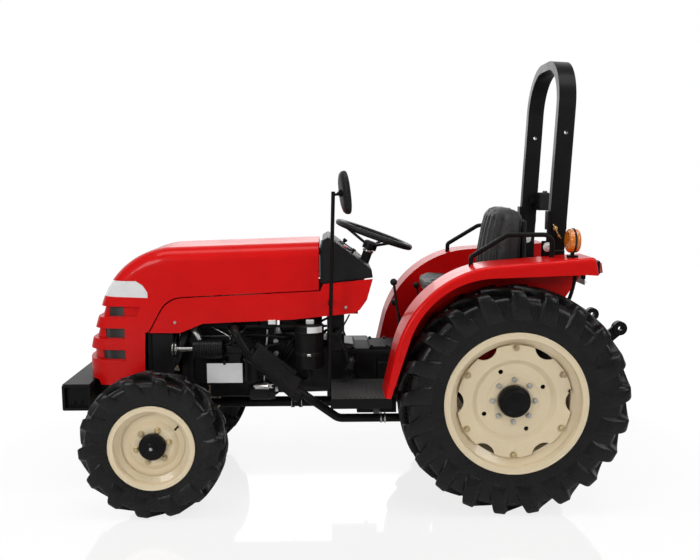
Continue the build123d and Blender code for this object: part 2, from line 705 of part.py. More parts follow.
def hood_form(inset):
    """Closed form of the hood, drawn in by inset on every face but the rear and the bottom."""
    top = [(HOOD_REAR_X, HOOD_TOP_Z - inset), (HOOD_FRONT_X + 179 + 0.7 * inset, HOOD_TOP_Z - 32 - inset),
           (HOOD_FRONT_X + inset, 645), (HOOD_FRONT_X + 19 + inset, HOOD_LOW_Z)]
    line = FilletPolyline(*top, radius=[380 - inset, 60])
    rest = Polyline(top[-1], (HOOD_REAR_X, HOOD_LOW_Z), top[0])
    body = side_prism(line + rest, -400, 400) & hood_plan(inset, HOOD_REAR_X + 300)
    rounded = []
    for edge in body.edges():
        middle, start, end = edge.center(), edge @ 0, edge @ 1
        upright = abs(start.X - end.X) + abs(start.Y - end.Y) < 0.01
        outer = middle.Z > HOOD_LOW_Z + 20 and abs(middle.Y) > 60
        if outer and middle.X < HOOD_REAR_X - 1 and not upright:
            rounded.append(edge)
    return fillet(rounded, HOOD_EDGE_R - inset)


def seam(drop):
    """Parting line between hood and side panels, from the rear to its foot."""
    corner, foot = [(x + 0.8 * drop, z - drop) for x, z in (SEAM_CORNER, SEAM_FOOT)]
    return FilletPolyline((HOOD_REAR_X + 10, SEAM_REAR_Z - drop), corner, foot, radius=SEAM_R)


def hood_region():
    """Side view of all that lifts with the hood."""
    line = seam(0)
    above = HOOD_TOP_Z + 171
    under = [(HOOD_FRONT_X + reach, z) for reach, z in
             ((311, 799), (304, 608), (220, 566), (192, 542), (86, 540), (71, 564))]
    rest = Polyline(line @ 1, *under, (PAST_NOSE_X, 564), (PAST_NOSE_X, above),
                    (HOOD_REAR_X + 10, above), line @ 0)
    return side_prism(line + rest, -400, 400)


def headlight_region(y_low, y_high):
    """Side view of a headlight that wraps round the nose."""
    rear = [(HOOD_FRONT_X + reach, z) for reach, z in ((328, 967), (328, 992), (305, 1027), (273, 1047))]
    return side_prism(closed((PAST_NOSE_X, 980), *rear, (PAST_NOSE_X, 1047)), y_low, y_high)


def groove_prism(low, high, lean, end, grown):
    """Side view of one nose groove, made larger by a margin."""
    end_x = HOOD_FRONT_X + end + grown
    return side_prism(closed((PAST_NOSE_X, low - grown), (end_x, low - grown),
                             (end_x + lean, high + grown), (PAST_NOSE_X, high + grown)), -400, 400)


def hood():
    """Thin hood shell with lined nose grooves, side windows in them, lights and hinge lugs."""
    shell = (hood_form(0) - hood_form(SHEET)) & hood_region()
    lining = hood_form(0) - hood_form(GROOVE_DEPTH + LINING)
    hollow = hood_form(-1) - hood_form(GROOVE_DEPTH)
    for low, high, lean, end, window in GROOVES:
        opening = groove_prism(low, high, lean, end, 0)
        walls = lining & groove_prism(low, high, lean, end, LINING)
        shell = (shell - opening) + walls - (hollow & opening)
        glimpse = closed((HOOD_FRONT_X + window, low + 3), (WINDOW_END_X, low + 3),
                         (WINDOW_END_X, high - 3), (HOOD_FRONT_X + window, high - 3))
        shell = shell - side_prism(glimpse, -400, -60) - side_prism(glimpse, 60, 400)
    for side in (-1, 1):
        shell = shell - headlight_region(*sorted((side * 62, side * 400)))
        x, z = HOOD_HINGE
        lug = block((x - 8, x + 10), sorted((side * 84, side * 92)), (z - 12, HOOD_TOP_Z - SHEET + 2))
        shell = shell + lug - cross_rod(6 + RUN_GAP, x, z, *sorted((side * 80, side * 96)))
    return shell


def headlights():
    """Two wrap-round lenses, let in by a millimetre."""
    skin = hood_form(LENS_GAP) - hood_form(SHEET + 8)
    return Compound([skin & headlight_region(-400, -62), skin & headlight_region(62, 400)])


def grille():
    """Dark screen behind the windows of the grooves."""
    inset = GROOVE_DEPTH + LINING + RUN_GAP
    skin = hood_form(inset) - hood_form(inset + 3)
    return skin & block((PAST_NOSE_X, WINDOW_END_X + 25), (-400, 400), (645, 948))


PANEL_REAR = (-631, 1056)


def side_panel():
    """Left fixed panel below the seam, running back under the dash."""
    skin = hood_plan(0, PANEL_REAR[0] + 20) - hood_plan(SHEET, PANEL_REAR[0] + 21)
    line = seam(SEAM)
    rest = Polyline(line @ 1, (HOOD_FRONT_X + 478, 798), (HOOD_FRONT_X + 587, 843),
                    (DASH_FRONT_X - 141, 861),
                    (DASH_FRONT_X + 153, 891), (DASH_FRONT_X + 180, 908), (DASH_FRONT_X + 213, 955),
                    PANEL_REAR, (DASH_FRONT_X + 4, 1031), (DASH_FRONT_X - 10, SEAM_REAR_Z - SEAM),
                    line @ 0)
    return skin & side_prism(line + rest, -400, -100)


place("hood", hood())
place("headlights", headlights())
place("grille_screen", grille())
place("side_panels", both(side_panel()))

# ---------------------------------------------------------------- dash, column and steering wheel
DASH_HALF_W = 222
COLUMN_R = 24


def steering_frame():
    """Frame at the middle of the steering wheel, its Z along the column."""
    x, z = STEERING_CENTRE
    tilt = math.radians(STEERING_TILT)
    across = (math.cos(tilt), 0, -math.sin(tilt))
    return Location(Plane(origin=(x, 0, z), x_dir=across, z_dir=(math.sin(tilt), 0, math.cos(tilt))))


def column_rod(radius, low, high):
    """A bar on the steering axis, between two distances from the wheel's plane."""
    return steering_frame() * rod(radius, (0, 0, low), (0, 0, high))


def dash():
    """Moulded instrument hood over the column."""
    outline = closed((DASH_FRONT_X, 1031), (DASH_FRONT_X, 1236), (-844, 1253), (-806, 1228), (-696, 1147),
                     (-636, 1098), (-630, 1060))
    body = side_prism(outline, -DASH_HALF_W, DASH_HALF_W)
    body = fillet(body.edges().filter_by(Axis.Y).group_by(Axis.Z)[-1], 12)
    return body - column_rod(COLUMN_R + RUN_GAP, -400, 0)


def dash_pedestal():
    """Black firewall and pedestal from the clutch housing up to the dash."""
    upper = block((-860, -700), (-190, 190), (880, 1031))
    lower = block((-850, -765), (-140, 140), (CLUTCH_TOP_Z, 880))
    wings = block((-850, -840), (-232, 232), (870, 1010))
    return fuse(upper, lower, wings) - clutch_housing()


def steering_column():
    """Column tube that the wheel's shaft turns in."""
    return column_rod(COLUMN_R, -330, -82) - column_rod(11 + RUN_GAP, -200, -80)


def steering_wheel():
    """Rim, three spokes that drop to the hub, and the shaft."""
    rim_r = 13
    ring = Torus(STEERING_R - rim_r, rim_r)
    hub = fillet(Cylinder(36, 34).edges().group_by(Axis.Z)[-1], 8)
    wheel = ring + Pos(0, 0, -61) * hub
    for turn in range(3):
        angle = math.radians(60 + 120 * turn)
        out = (STEERING_R - rim_r) * math.cos(angle), (STEERING_R - rim_r) * math.sin(angle), 0
        wheel = wheel + rod(7, (25 * math.cos(angle), 25 * math.sin(angle), -55), out)
    return steering_frame() * (wheel + Pos(0, 0, -125) * Cylinder(11, 110))


CLUTCH_TOP_Z = 700
place("dash_pedestal", dash_pedestal() + steering_column())
place("steering_wheel", steering_wheel())


def hood_hinge():
    """Pin on two ears that hang below it and run back to the dash, clear of the hood's rear edge."""
    x, z = HOOD_HINGE
    hinge = cross_rod(6, x, z, -100, 100)
    for side in (-1, 1):
        span = sorted((side * 70, side * 78))
        ear = block((x - 9, x + 7), span, (z - 60, z + 6))
        hinge = hinge + ear + block((x, DASH_FRONT_X), span, (z - 60, z - 38))
    return hinge


place("dash", dash() + hood_hinge())

# ---------------------------------------------------------------- fenders and platform
FENDER_T = 5
FENDER_TOP = ((-589, PLATFORM_Z), (-460, 1118), (347, 1182), (362, 1100))
FENDER_EDGE_R = 18
WALL_T = 4


def under_fender(inset):
    """All that lies under the fender's top line, drawn in by inset."""
    line = FilletPolyline(*FENDER_TOP, radius=[500, 20])
    rest = Polyline(line @ 1, (362, 300), (-589, 300), line @ 0)
    face = make_face(line + rest)
    return offset(face, amount=-inset) if inset else face


def fender():
    """Left fender: rolled sheet with an outer flange, and its inner wall."""
    band_low = FilletPolyline((-562, PLATFORM_Z), (-392, 1080), (300, 1104), radius=400)
    top = FilletPolyline(*FENDER_TOP, radius=[500, 20])
    band = side_prism(top + Polyline(top @ 1, (300, 1104)) + band_low + Line(band_low @ 0, top @ 0),
                      -FENDER_OUT_Y, -FENDER_IN_Y)
    rim_line = Pos(0, -FENDER_OUT_Y, 0) * (Plane.XZ * top)
    outer_edges = [edge for edge in band.edges() if rim_line.distance_to(edge @ 0.5) < 0.1]
    band = fillet(outer_edges, FENDER_EDGE_R)
    hollow = Pos(0, -FENDER_IN_Y + 10, 0) * extrude(Plane.XZ * under_fender(FENDER_T),
                                                  amount=FENDER_OUT_Y - FENDER_IN_Y - FENDER_T + 10)
    hollow_line = Pos(0, -FENDER_OUT_Y + FENDER_T, 0) * (Plane.XZ * top)
    inner_edges = [edge for edge in hollow.edges() if hollow_line.distance_to(edge @ 0.5) < FENDER_T + 0.1]
    hollow = fillet(inner_edges, FENDER_EDGE_R - FENDER_T)
    wall_line = closed((-700, PLATFORM_Z), (-180, 560), (120, 745), (266, 963), (344, 1079),
                       (344, 1300), (-700, 1300))
    wall = side_prism(wall_line, -FENDER_IN_Y - WALL_T, -FENDER_IN_Y)
    wall = wall & extrude(Plane.XZ * under_fender(0), amount=FENDER_OUT_Y)
    return (band - hollow) + wall


def platform():
    """Left foot platform: plate with a turned-down edge and anti-slip bars."""
    low = PLATFORM_Z - 6
    plate = block((-830, -560), (-PLATFORM_OUT_Y, -150), (low, PLATFORM_Z))
    inner = block((-565, -330), (-FENDER_IN_Y, -150), (low, PLATFORM_Z))
    edge = block((-830, -560), (-PLATFORM_OUT_Y, -PLATFORM_OUT_Y + 6), (low - 30, PLATFORM_Z))
    lip = block((-830, -824), (-PLATFORM_OUT_Y, -150), (low - 30, PLATFORM_Z))
    bars = [block((x, x + 8), (-PLATFORM_OUT_Y + 20, -170), (PLATFORM_Z - 1, PLATFORM_Z + 4))
            for x in range(-812, -600, 22)]
    return fuse(plate, inner, edge, lip, *bars)


def platform_carrier():
    """Two cross beams that hang the platforms from the driveline."""
    front = block((-800, -770), (-480, 480), (505, PLATFORM_Z - 6))
    rear = block((-640, -610), (-480, 480), (505, PLATFORM_Z - 6))
    step = [block((-640, -612), sorted((side * 470, side * 480)), (470, 506)) for side in (-1, 1)]
    return (front - clutch_housing()) + (fuse(rear, *step) - gearbox())


def platforms():
    """Both platforms on their cross beams."""
    left = platform()
    return left + flip(left) + platform_carrier()


place_pair("fender", fender())
place("platforms", platforms())

# ---------------------------------------------------------------- roll-over hoop
POST_TOP_Z = ROPS_HINGE[1] - ROPS_D / 2 - MOVE_GAP
TONGUE_HALF = 12


def rops_post():
    """Left lower post on the axle trumpet, with the hinge tongue on top."""
    x, z = ROPS_HINGE
    outline = closed((-60, REAR_TYRE_R + 46), (60, REAR_TYRE_R + 46), (x + ROPS_D / 2, 800),
                     (x + ROPS_D / 2, POST_TOP_Z), (x - ROPS_D / 2, POST_TOP_Z), (x - ROPS_D / 2, 860))
    post = side_prism(outline, -ROPS_Y - ROPS_W / 2, -ROPS_Y + ROPS_W / 2)
    post = post - cross_rod(48, 0, REAR_TYRE_R, -400, -200) - cross_rod(70, 0, REAR_TYRE_R, -400, -200)
    span = (-ROPS_Y - TONGUE_HALF, -ROPS_Y + TONGUE_HALF)
    tongue = block((x - 34, x + 34), span, (POST_TOP_Z - 1, z)) + cross_rod(34, x, z, *span)
    pin = cross_rod(12, x, z, -ROPS_Y - ROPS_W / 2 - 3, -ROPS_Y + ROPS_W / 2 + 8)
    return fuse(post, tongue, pin)


def hoop_outline(half_w, top_z, bend):
    """Front view of the hoop's path: legs and a large-radius arch."""
    x, z = ROPS_HINGE
    return FilletPolyline((-half_w, z), (-half_w, top_z), (half_w, top_z), (half_w, z), radius=bend)


def rops_hoop():
    """Folding hoop: one bent rectangular tube with a forked foot on each leg."""
    x, z = ROPS_HINGE
    outer_half = ROPS_Y + ROPS_W / 2
    inner_half = ROPS_Y - ROPS_W / 2
    outer = hoop_outline(outer_half, ROPS_TOP_Z, ROPS_BEND_R + ROPS_W)
    inner = hoop_outline(inner_half, ROPS_TOP_Z - ROPS_W, ROPS_BEND_R)
    face = make_face(outer + Line(outer @ 1, inner @ 1) + inner + Line(inner @ 0, outer @ 0))
    hoop = Pos(x - ROPS_D / 2, 0, 0) * extrude(Plane.YZ * face, amount=ROPS_D)
    for side in (-1, 1):
        foot = cross_rod(ROPS_D / 2, x, z, *sorted((side * inner_half, side * outer_half)))
        gap = sorted((side * (ROPS_Y - TONGUE_HALF - 0.5), side * (ROPS_Y + TONGUE_HALF + 0.5)))
        slot = block((x - 60, x + 60), gap, (z - 60, z + ROPS_D / 2))
        hole = cross_rod(12 + RUN_GAP, x, z, *sorted((side * 200, side * 320)))
        lock = cross_rod(9, x + 4, 1740, *sorted((side * 200, side * 320)))
        hoop = hoop + foot - slot - hole - lock
    about = Pos(x, 0, z)
    return about * Rot(0, ROPS_LEAN, 0) * Pos(-x, 0, -z) * hoop


def work_lamp():
    """Rear work lamp on the hoop's right leg."""
    arm = block((236, 270), (ROPS_Y - ROPS_W / 2 - 14, ROPS_Y - ROPS_W / 2), (1398, 1424))
    lamp = block((264, 312), (160, ROPS_Y - ROPS_W / 2 - 4), (1362, 1455))
    return fillet(lamp.edges().filter_by(Axis.X), 10) + arm


place("rops_posts", both(rops_post()))
place("rops_hoop", rops_hoop())
place("work_lamp", work_lamp())

# ---------------------------------------------------------------- seat and hand rails
SEAT_HALF_W = 222


def seat_cushion():
    """Plain closed solid of the seat cushion."""
    outline = closed((-385, 985), (-385, 1020), (-360, 1040), (-60, 1015), (18, 1030), (18, 960), (-360, 950))
    body = side_prism(outline, -SEAT_HALF_W, SEAT_HALF_W)
    return fillet(body.edges().filter_by(Axis.Y, reverse=True), 12)


def seat_back():
    """Plain closed solid of the backrest."""
    outline = closed((22, 975), (30, 1090), (52, 1360), (66, 1385), (92, 1383), (104, 1360),
                     (98, 1133), (90, 975))
    body = side_prism(outline, -SEAT_HALF_W + 8, SEAT_HALF_W - 8)
    return fillet(body.edges().filter_by(Axis.Y, reverse=True), 14)


def seat_stand():
    """Seat pan and the stand on the gearbox cover."""
    pan = block((-340, 112), (-180, 180), (938, 950))
    front = block((-290, -230), (-110, 110), (690, 940))
    rear = block((-60, 20), (-110, 110), (790, 940))
    lip = block((105, 112), (-120, 120), (938, 1150))
    return fuse(pan, front, rear, lip)


def grab_rail():
    """Left hand rail over the fender."""
    y = -360
    foot = fender_top_z(-187) - 15
    tail = fender_top_z(185) - 15
    rail = pipe(11, [(-187, y, foot), (-187, y, 1172), (-20, y, 1273), (185, y, 1273), (185, y, tail)],
                [18, 45, 40])
    return (rail - under_top()).solids().sort_by(Axis.Z)[-1]


def under_top():
    """Everything under the left fender's top surface."""
    return extrude(Plane.XZ * under_fender(0), amount=FENDER_OUT_Y)


def fender_top_z(x):
    """Height of the fender's top line behind its bend."""
    (ax, az), (bx, bz) = FENDER_TOP[1:3]
    return az + (bz - az) * (x - ax) / (bx - ax)


place("seat_cushion", seat_cushion())
place("seat_back", seat_back())
place("seat_stand", seat_stand())

# ---------------------------------------------------------------- lamps and mirror
INDICATOR = (262, -420, 1250)
INDICATOR_R = 54


def indicator():
    """Left round amber lamp that shows to the front and the rear."""
    x, y, z = INDICATOR
    lens = rod(INDICATOR_R, (x - 26, y, z), (x + 26, y, z))
    return fillet(lens.edges(), 14)


def indicator_stand():
    """Short post under the left round lamp."""
    x, y, z = INDICATOR
    base = fender_top_z(x)
    post = rod(9, (x, y, base), (x, y, z - INDICATOR_R + 2))
    foot = block((x - 22, x + 22), (y - 16, y + 16), (base - 10, base + 10))
    return post + foot - under_top() - indicator()


def tail_lamps():
    """Red lamps on the fenders' rear faces."""
    (ax, az), (bx, bz) = FENDER_TOP[2:4]
    face_x = [ax + (bx - ax) * (z - az) / (bz - az) for z in (1106, 1158)]
    lamp = side_prism(closed((face_x[0], 1106), (face_x[1], 1158), (380, 1154), (387, 1110)), -470, -395)
    return Compound([lamp, flip(lamp)])


MIRROR_Y = -330


def mirror_stalk():
    """Upright of the mirror, from the platform past the side panel."""
    stalk = pipe(9, [(-840, MIRROR_Y, PLATFORM_Z - 20), (-830, MIRROR_Y, 1000),
                     (-819, MIRROR_Y, 1470)], [300])
    foot = block((-850, -830), (MIRROR_Y - 20, MIRROR_Y + 20), (PLATFORM_Z - 30, PLATFORM_Z - 10))
    stay = block((-838, -822), (MIRROR_Y, -HOOD_HALF_W), (940, 956))
    arm = rod(6, (-819, MIRROR_Y, 1455), (-786, MIRROR_Y, 1458))
    return fuse(stalk, foot, stay, arm)


def mirror_head():
    """Oval rear-view mirror."""
    plate = extrude(SlotOverall(200, 130), amount=34)
    plate = fillet(plate.edges().group_by(Axis.Z)[0], 12)
    upright = Rot(0, 90, 0) * plate
    return Pos(-786, MIRROR_Y, 1462) * Rot(0, 0, -15) * upright - mirror_stalk()


place("indicators", both(indicator()))
place("fender_rails", Compound([*both(grab_rail()).solids(), *both(indicator_stand()).solids()]))
place("tail_lamps", tail_lamps())
place("mirror_stalk", mirror_stalk())
place("mirror_head", mirror_head())

# ---------------------------------------------------------------- controls and oil canister
LEVERS = (
    # foot (X, Y, Z), knob (X, Y, Z)
    ((-470, -170, 640), (-532, -235, 1040)),
    ((-430, 20, 691), (-505, 30, 900)),
    ((-300, 175, 640), (-370, 240, 960)),
)


def levers():
    """Gear and lift levers with ball knobs."""
    solids = []
    for foot, knob in LEVERS:
        solids.append(rod(6, foot, knob) + Pos(*knob) * Sphere(17))
    return Compound([solid - gearbox() for solid in solids])


def pedals():
    """Clutch pedal and brake pedal hung from the pedestal."""
    solids = []
    for y in (-215, 215):
        side = -1 if y < 0 else 1
        arm = pipe(8, [(-800, y, 790), (-760, y, 700), (-745, y, 640)], [40])
        pad = Pos(-742, y, 640) * Rot(0, 40, 0) * Box(12, 70, 60)
        pivot = cross_rod(12, -800, 790, *sorted((side * 140, side * 226)))
        solids.append(fuse(arm, pad, pivot))
    return Compound(solids)


def oil_canister():
    """Upright canister beside the clutch housing."""
    body = rod(70, (-935, -215, 625), (-935, -215, 815))
    cap = rod(52, (-935, -215, 815), (-935, -215, 835))
    body = fillet(body.edges(), 8) + cap
    bracket = block((-960, -910), (-160, -100), (660, 700))
    return body + bracket - clutch_housing()


place("controls", Compound([*levers().solids(), *pedals().solids()]))
place("oil_canister", oil_canister())
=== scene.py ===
# %% [markdown]
# # A compact farm tractor, dressed piece by piece
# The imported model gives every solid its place. This lesson puts the finish on it: paint,
# rubber, cast iron and vinyl as node materials, and the forms that solids are poor at, such
# as cleated tyres, a padded seat, hoses and small hardware. Distances are metres. X runs to
# the rear, Y to the tractor's right and Z up.

# %% The frame
import bpy
import math
import numpy as np
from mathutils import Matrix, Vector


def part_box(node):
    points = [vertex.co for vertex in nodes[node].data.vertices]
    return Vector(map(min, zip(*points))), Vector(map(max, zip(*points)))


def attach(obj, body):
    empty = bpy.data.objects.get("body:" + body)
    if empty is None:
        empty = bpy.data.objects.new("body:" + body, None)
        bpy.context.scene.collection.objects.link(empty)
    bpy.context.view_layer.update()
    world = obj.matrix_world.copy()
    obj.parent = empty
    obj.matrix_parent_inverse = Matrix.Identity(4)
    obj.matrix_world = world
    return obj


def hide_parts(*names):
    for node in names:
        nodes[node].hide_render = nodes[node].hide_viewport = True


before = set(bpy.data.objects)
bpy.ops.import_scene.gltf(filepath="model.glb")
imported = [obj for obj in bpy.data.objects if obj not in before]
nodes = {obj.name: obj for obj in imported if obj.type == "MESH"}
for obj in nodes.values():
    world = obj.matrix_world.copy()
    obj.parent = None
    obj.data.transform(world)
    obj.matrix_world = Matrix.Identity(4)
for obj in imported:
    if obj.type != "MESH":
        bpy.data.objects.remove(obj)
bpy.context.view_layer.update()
scene = bpy.context.scene

# %% [markdown]
# ## Camera
# The camera stands to the tractor's left, a little above the wheels, with a lens long enough
# to keep the far wheels close in size to the near ones.

# %% Camera
CAMERA_AT = (-0.0881, -3.907, 1.5323)
CAMERA_YAW = math.radians(1.552)
CAMERA_PITCH = math.radians(7.473)
SENSOR_WIDTH, LENS = 36.0, 40.114      # millimetres, as on a camera


def make_camera():
    """A level camera turned by yaw towards +X and then down by pitch."""
    data = bpy.data.cameras.new("camera")
    data.sensor_width = SENSOR_WIDTH
    data.lens = LENS
    camera = bpy.data.objects.new("camera", data)
    camera.location = CAMERA_AT
    camera.rotation_mode = "XYZ"
    camera.rotation_euler = (math.pi / 2 - CAMERA_PITCH, 0.0, -CAMERA_YAW)
    scene.collection.objects.link(camera)
    scene.camera = camera


make_camera()
scene.view_settings.view_transform = "Standard"
print("camera at", CAMERA_AT, "with a lens of", LENS, "mm")

# %% [markdown]
# ## Surfaces as arrays
# Every new form here is a grid of points: one parameter runs along it and one round it. The
# helpers turn such grids into faces with whole-array steps, and gather several grids into
# one mesh.

# %% Grids, faces and pieces


def grid(points, wrap_rows=False, wrap_cols=False):
    """Faces between neighbouring points of a (rows, columns, 3) array: the four corners of a
    face are (i, j), (i+1, j), (i+1, j+1), (i, j+1), and a wrapped direction joins its ends."""
    rows, cols = points.shape[:2]
    number = np.arange(rows * cols).reshape(rows, cols)
    i = np.arange(rows if wrap_rows else rows - 1)
    j = np.arange(cols if wrap_cols else cols - 1)
    i, j = np.meshgrid(i, j, indexing="ij")
    i_next, j_next = (i + 1) % rows, (j + 1) % cols
    quads = np.stack([number[i, j], number[i_next, j], number[i_next, j_next],
                      number[i, j_next]], axis=-1).reshape(-1, 4)
    return points.reshape(-1, 3), quads.tolist()


def shift(shape, offset):
    """The same points moved by an offset."""
    points, faces = shape
    return points + np.asarray(offset, float), faces


def gather(*shapes):
    """Several (points, faces) pairs as one pair; each pair's numbers start after the last's."""
    points, faces, start = [], [], 0
    for shape in shapes:
        points.append(shape[0])
        faces += [[start + n for n in face] for face in shape[1]]
        start += len(shape[0])
    return np.concatenate(points), faces


def turn(points, axis, angle):
    """Points turned about an axis through the origin by Rodrigues' formula."""
    axis = np.asarray(axis, float) / np.linalg.norm(axis)
    cos, sin = math.cos(angle), math.sin(angle)
    along = np.outer(points @ axis, axis)
    return points * cos + np.cross(axis, points) * sin + along * (1 - cos)


def turned(shape, axis, angle):
    """A shape turned about an axis through the origin."""
    return turn(shape[0], axis, angle), shape[1]


def flipped(shape):
    """Mirror image in Y, with each face's order reversed so that it still points outwards."""
    return shape[0] * (1, -1, 1), [face[::-1] for face in shape[1]]


def end_faces(rows, cols):
    """Two flat faces that close a grid of closed rows at its first and last row; the first
    looks back along the rows and the last ahead."""
    first, last = range(cols), range((rows - 1) * cols, rows * cols)
    return [list(first)[::-1], list(last)]


def frame_of(axis):
    """Two unit vectors square to an axis and to each other."""
    axis = np.asarray(axis, float) / np.linalg.norm(axis)
    helper = np.array([0.0, 0.0, 1.0]) if abs(axis[2]) < 0.9 else np.array([1.0, 0.0, 0.0])
    first = np.cross(helper, axis)
    first /= np.linalg.norm(first)
    return axis, first, np.cross(axis, first)


def lathe(profile, at=(0, 0, 0), axis=(0, 1, 0), sides=48, ring=False, start=0.0):
    """A turned form: each (distance, radius) of the profile sweeps the circle
    at + axis*distance + radius*(first*cos t + second*sin t). A ring joins its last point to
    its first; otherwise both ends are closed with one flat face."""
    axis, first, second = frame_of(axis)
    profile = np.asarray(profile, float)
    t = start + np.linspace(0, 2 * np.pi, sides, endpoint=False)
    circle = np.outer(np.cos(t), first) + np.outer(np.sin(t), second)
    points = (np.asarray(at, float) + profile[:, None, :1] * axis
              + profile[:, None, 1:] * circle[None])
    flat, faces = grid(points, wrap_rows=ring, wrap_cols=True)
    faces = [face[::-1] for face in faces]
    if not ring:
        faces += end_faces(len(profile), sides)
    if turns_inward(profile, ring):
        faces = [face[::-1] for face in faces]
    return flat, faces


def turns_inward(profile, ring):
    """True where a profile runs the way that makes its faces look at the axis: the signed
    area of a ring's outline is positive, or an open profile runs backwards along the axis."""
    d, r = np.asarray(profile, float).T
    if ring:
        return np.sum(d * np.roll(r, -1) - np.roll(d, -1) * r) > 0
    return d[-1] < d[0]


def tube(path, radius, sides=12):
    """A circle carried along a path: at each point it lies square to the path's tangent, and
    its first direction is carried from point to point so that the tube doesn't twist."""
    path = np.asarray(path, float)
    radius = np.broadcast_to(np.asarray(radius, float), (len(path),))
    tangent = np.gradient(path, axis=0)
    tangent /= np.linalg.norm(tangent, axis=1)[:, None]
    first = np.empty_like(path)
    first[0] = frame_of(tangent[0])[1]
    for n in range(1, len(path)):
        carried = first[n - 1] - tangent[n] * (first[n - 1] @ tangent[n])
        first[n] = carried / np.linalg.norm(carried)
    second = np.cross(tangent, first)
    t = np.linspace(0, 2 * np.pi, sides, endpoint=False)
    points = path[:, None] + radius[:, None, None] * (
        np.cos(t)[None, :, None] * first[:, None] + np.sin(t)[None, :, None] * second[:, None])
    flat, faces = grid(points, wrap_cols=True)
    faces = [face[::-1] for face in faces]
    return flat, faces + end_faces(len(path), sides)


def curve(points, steps=8):
    """A smooth line through given points: between two of them it is the cubic whose slopes
    are half the chord of their neighbours."""
    p = np.asarray(points, float)
    padded = np.vstack([2 * p[0] - p[1], p, 2 * p[-1] - p[-2]])
    before, here, there, after = padded[:-3], padded[1:-2], padded[2:-1], padded[3:]
    u = np.linspace(0, 1, steps, endpoint=False)[None, :, None]
    line = 0.5 * (2 * here[:, None] + (there - before)[:, None] * u
                  + (2 * before - 5 * here + 4 * there - after)[:, None] * u ** 2
                  + (3 * here - before - 3 * there + after)[:, None] * u ** 3)
    return np.vstack([line.reshape(-1, 3), p[-1:]])


def slab(low, high, chamfer=0.0):
    """A box whose twelve edges are cut off at 45 degrees: every corner is three points, one
    on each face that meets there."""
    low, high = np.asarray(low, float), np.asarray(high, float)
    c = min(chamfer, 0.45 * float(np.min(high - low)))
    if c <= 0:
        x, y, z = np.meshgrid(*zip(low, high), indexing="ij")
        points = np.stack([x, y, z], axis=-1).reshape(-1, 3)
        return points, [[0, 1, 3, 2], [4, 6, 7, 5], [0, 4, 5, 1], [2, 3, 7, 6],
                        [0, 2, 6, 4], [1, 5, 7, 3]]
    signs = np.array([(x, y, z) for x in (-1, 1) for y in (-1, 1) for z in (-1, 1)], float)
    half, centre = (high - low) / 2, (high + low) / 2
    inset = 1 - np.eye(3)
    points = signs[:, None] * (half - c * inset[None]) + centre
    points = points.reshape(-1, 3)
    name = {tuple(sign): 3 * n for n, sign in enumerate(signs.astype(int).tolist())}
    faces = []
    for k in range(3):
        a, b = (k + 1) % 3, (k + 2) % 3
        for side in (-1, 1):
            loop = []
            for sa, sb in ((-1, -1), (1, -1), (1, 1), (-1, 1)):
                sign = [0, 0, 0]
                sign[k], sign[a], sign[b] = side, sa, sb
                loop.append(name[tuple(sign)] + k)
            faces.append(loop if side > 0 else loop[::-1])
        for sa in (-1, 1):
            for sb in (-1, 1):
                ends = []
                for sk in (-1, 1):
                    sign = [0, 0, 0]
                    sign[k], sign[a], sign[b] = sk, sa, sb
                    ends.append(name[tuple(sign)])
                loop = [ends[0] + a, ends[1] + a, ends[1] + b, ends[0] + b]
                faces.append(loop if sa * sb < 0 else loop[::-1])
    for sign, start in name.items():
        loop = [start, start + 1, start + 2]
        faces.append(loop if sign[0] * sign[1] * sign[2] > 0 else loop[::-1])
    return points, faces


def prism(outline, low, high, axis=1):
    """A flat outline of (first, second) coordinates drawn out along one axis from low to
    high; for axis 1 the outline is X and Z, for 2 it is X and Y and for 0 it is Y and Z."""
    outline = np.asarray(outline, float)
    others = [k for k in range(3) if k != axis]
    count = len(outline)
    points = np.zeros((2 * count, 3))
    points[:count, others] = outline
    points[count:, others] = outline
    points[:count, axis], points[count:, axis] = low, high
    a = np.arange(count)
    b = (a + 1) % count
    faces = np.stack([a, b, b + count, a + count], axis=1).tolist()
    faces += [list(range(count))[::-1], list(range(count, 2 * count))]
    x, y = outline.T
    area = np.sum(x * np.roll(y, -1) - np.roll(x, -1) * y)
    if (area < 0) != (axis == 1):
        faces = [face[::-1] for face in faces]
    return points, faces


def hexagon(at, axis, across, height, start=0.0):
    """A bolt head or nut: six flats, with the outer corners turned off."""
    r = across / math.sqrt(3)
    profile = [(0, r), (height * 0.82, r), (height, r * 0.86)]
    return lathe(profile, at, axis, sides=6, start=start)


def bolt(at, axis, across=0.016, start=0.0):
    """A hexagon head on a thin round washer."""
    axis = np.asarray(axis, float) / np.linalg.norm(axis)
    washer = lathe([(0, across * 0.8), (0.0025, across * 0.8)], at, axis, sides=20)
    head = hexagon(np.asarray(at, float) + axis * 0.0025, axis, across, across * 0.5, start)
    return gather(washer, head)


def make_mesh(name, shape, sharp_degrees=35.0):
    """One mesh from points and faces, smooth except where faces meet at more than an angle."""
    points, faces = shape
    mesh = bpy.data.meshes.new(name)
    mesh.from_pydata(points.tolist(), [], faces)
    mesh.update()
    mesh.shade_smooth()
    mesh.set_sharp_from_angle(angle=math.radians(sharp_degrees))
    return mesh


def piece(name, shape, material, body="root", stands_for=(), sharp_degrees=35.0):
    """A finished object at the origin that rides on a body."""
    mesh = make_mesh(name, shape, sharp_degrees)
    mesh.materials.append(material)
    made = bpy.data.objects.new(name, mesh)
    scene.collection.objects.link(made)
    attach(made, body)
    if stands_for:
        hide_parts(*stands_for)
    print("piece", name, len(mesh.polygons), "faces")
    return made


# %% [markdown]
# ## Effects that several finishes share
# Real paint and castings are never one colour. Four shader groups carry what they share:
# mottle (slow change of colour), grain (fine height), settled dust on faces that look up,
# and wear where an edge is sharp. Each is built once and given its own values in a material.

# %% Group helpers


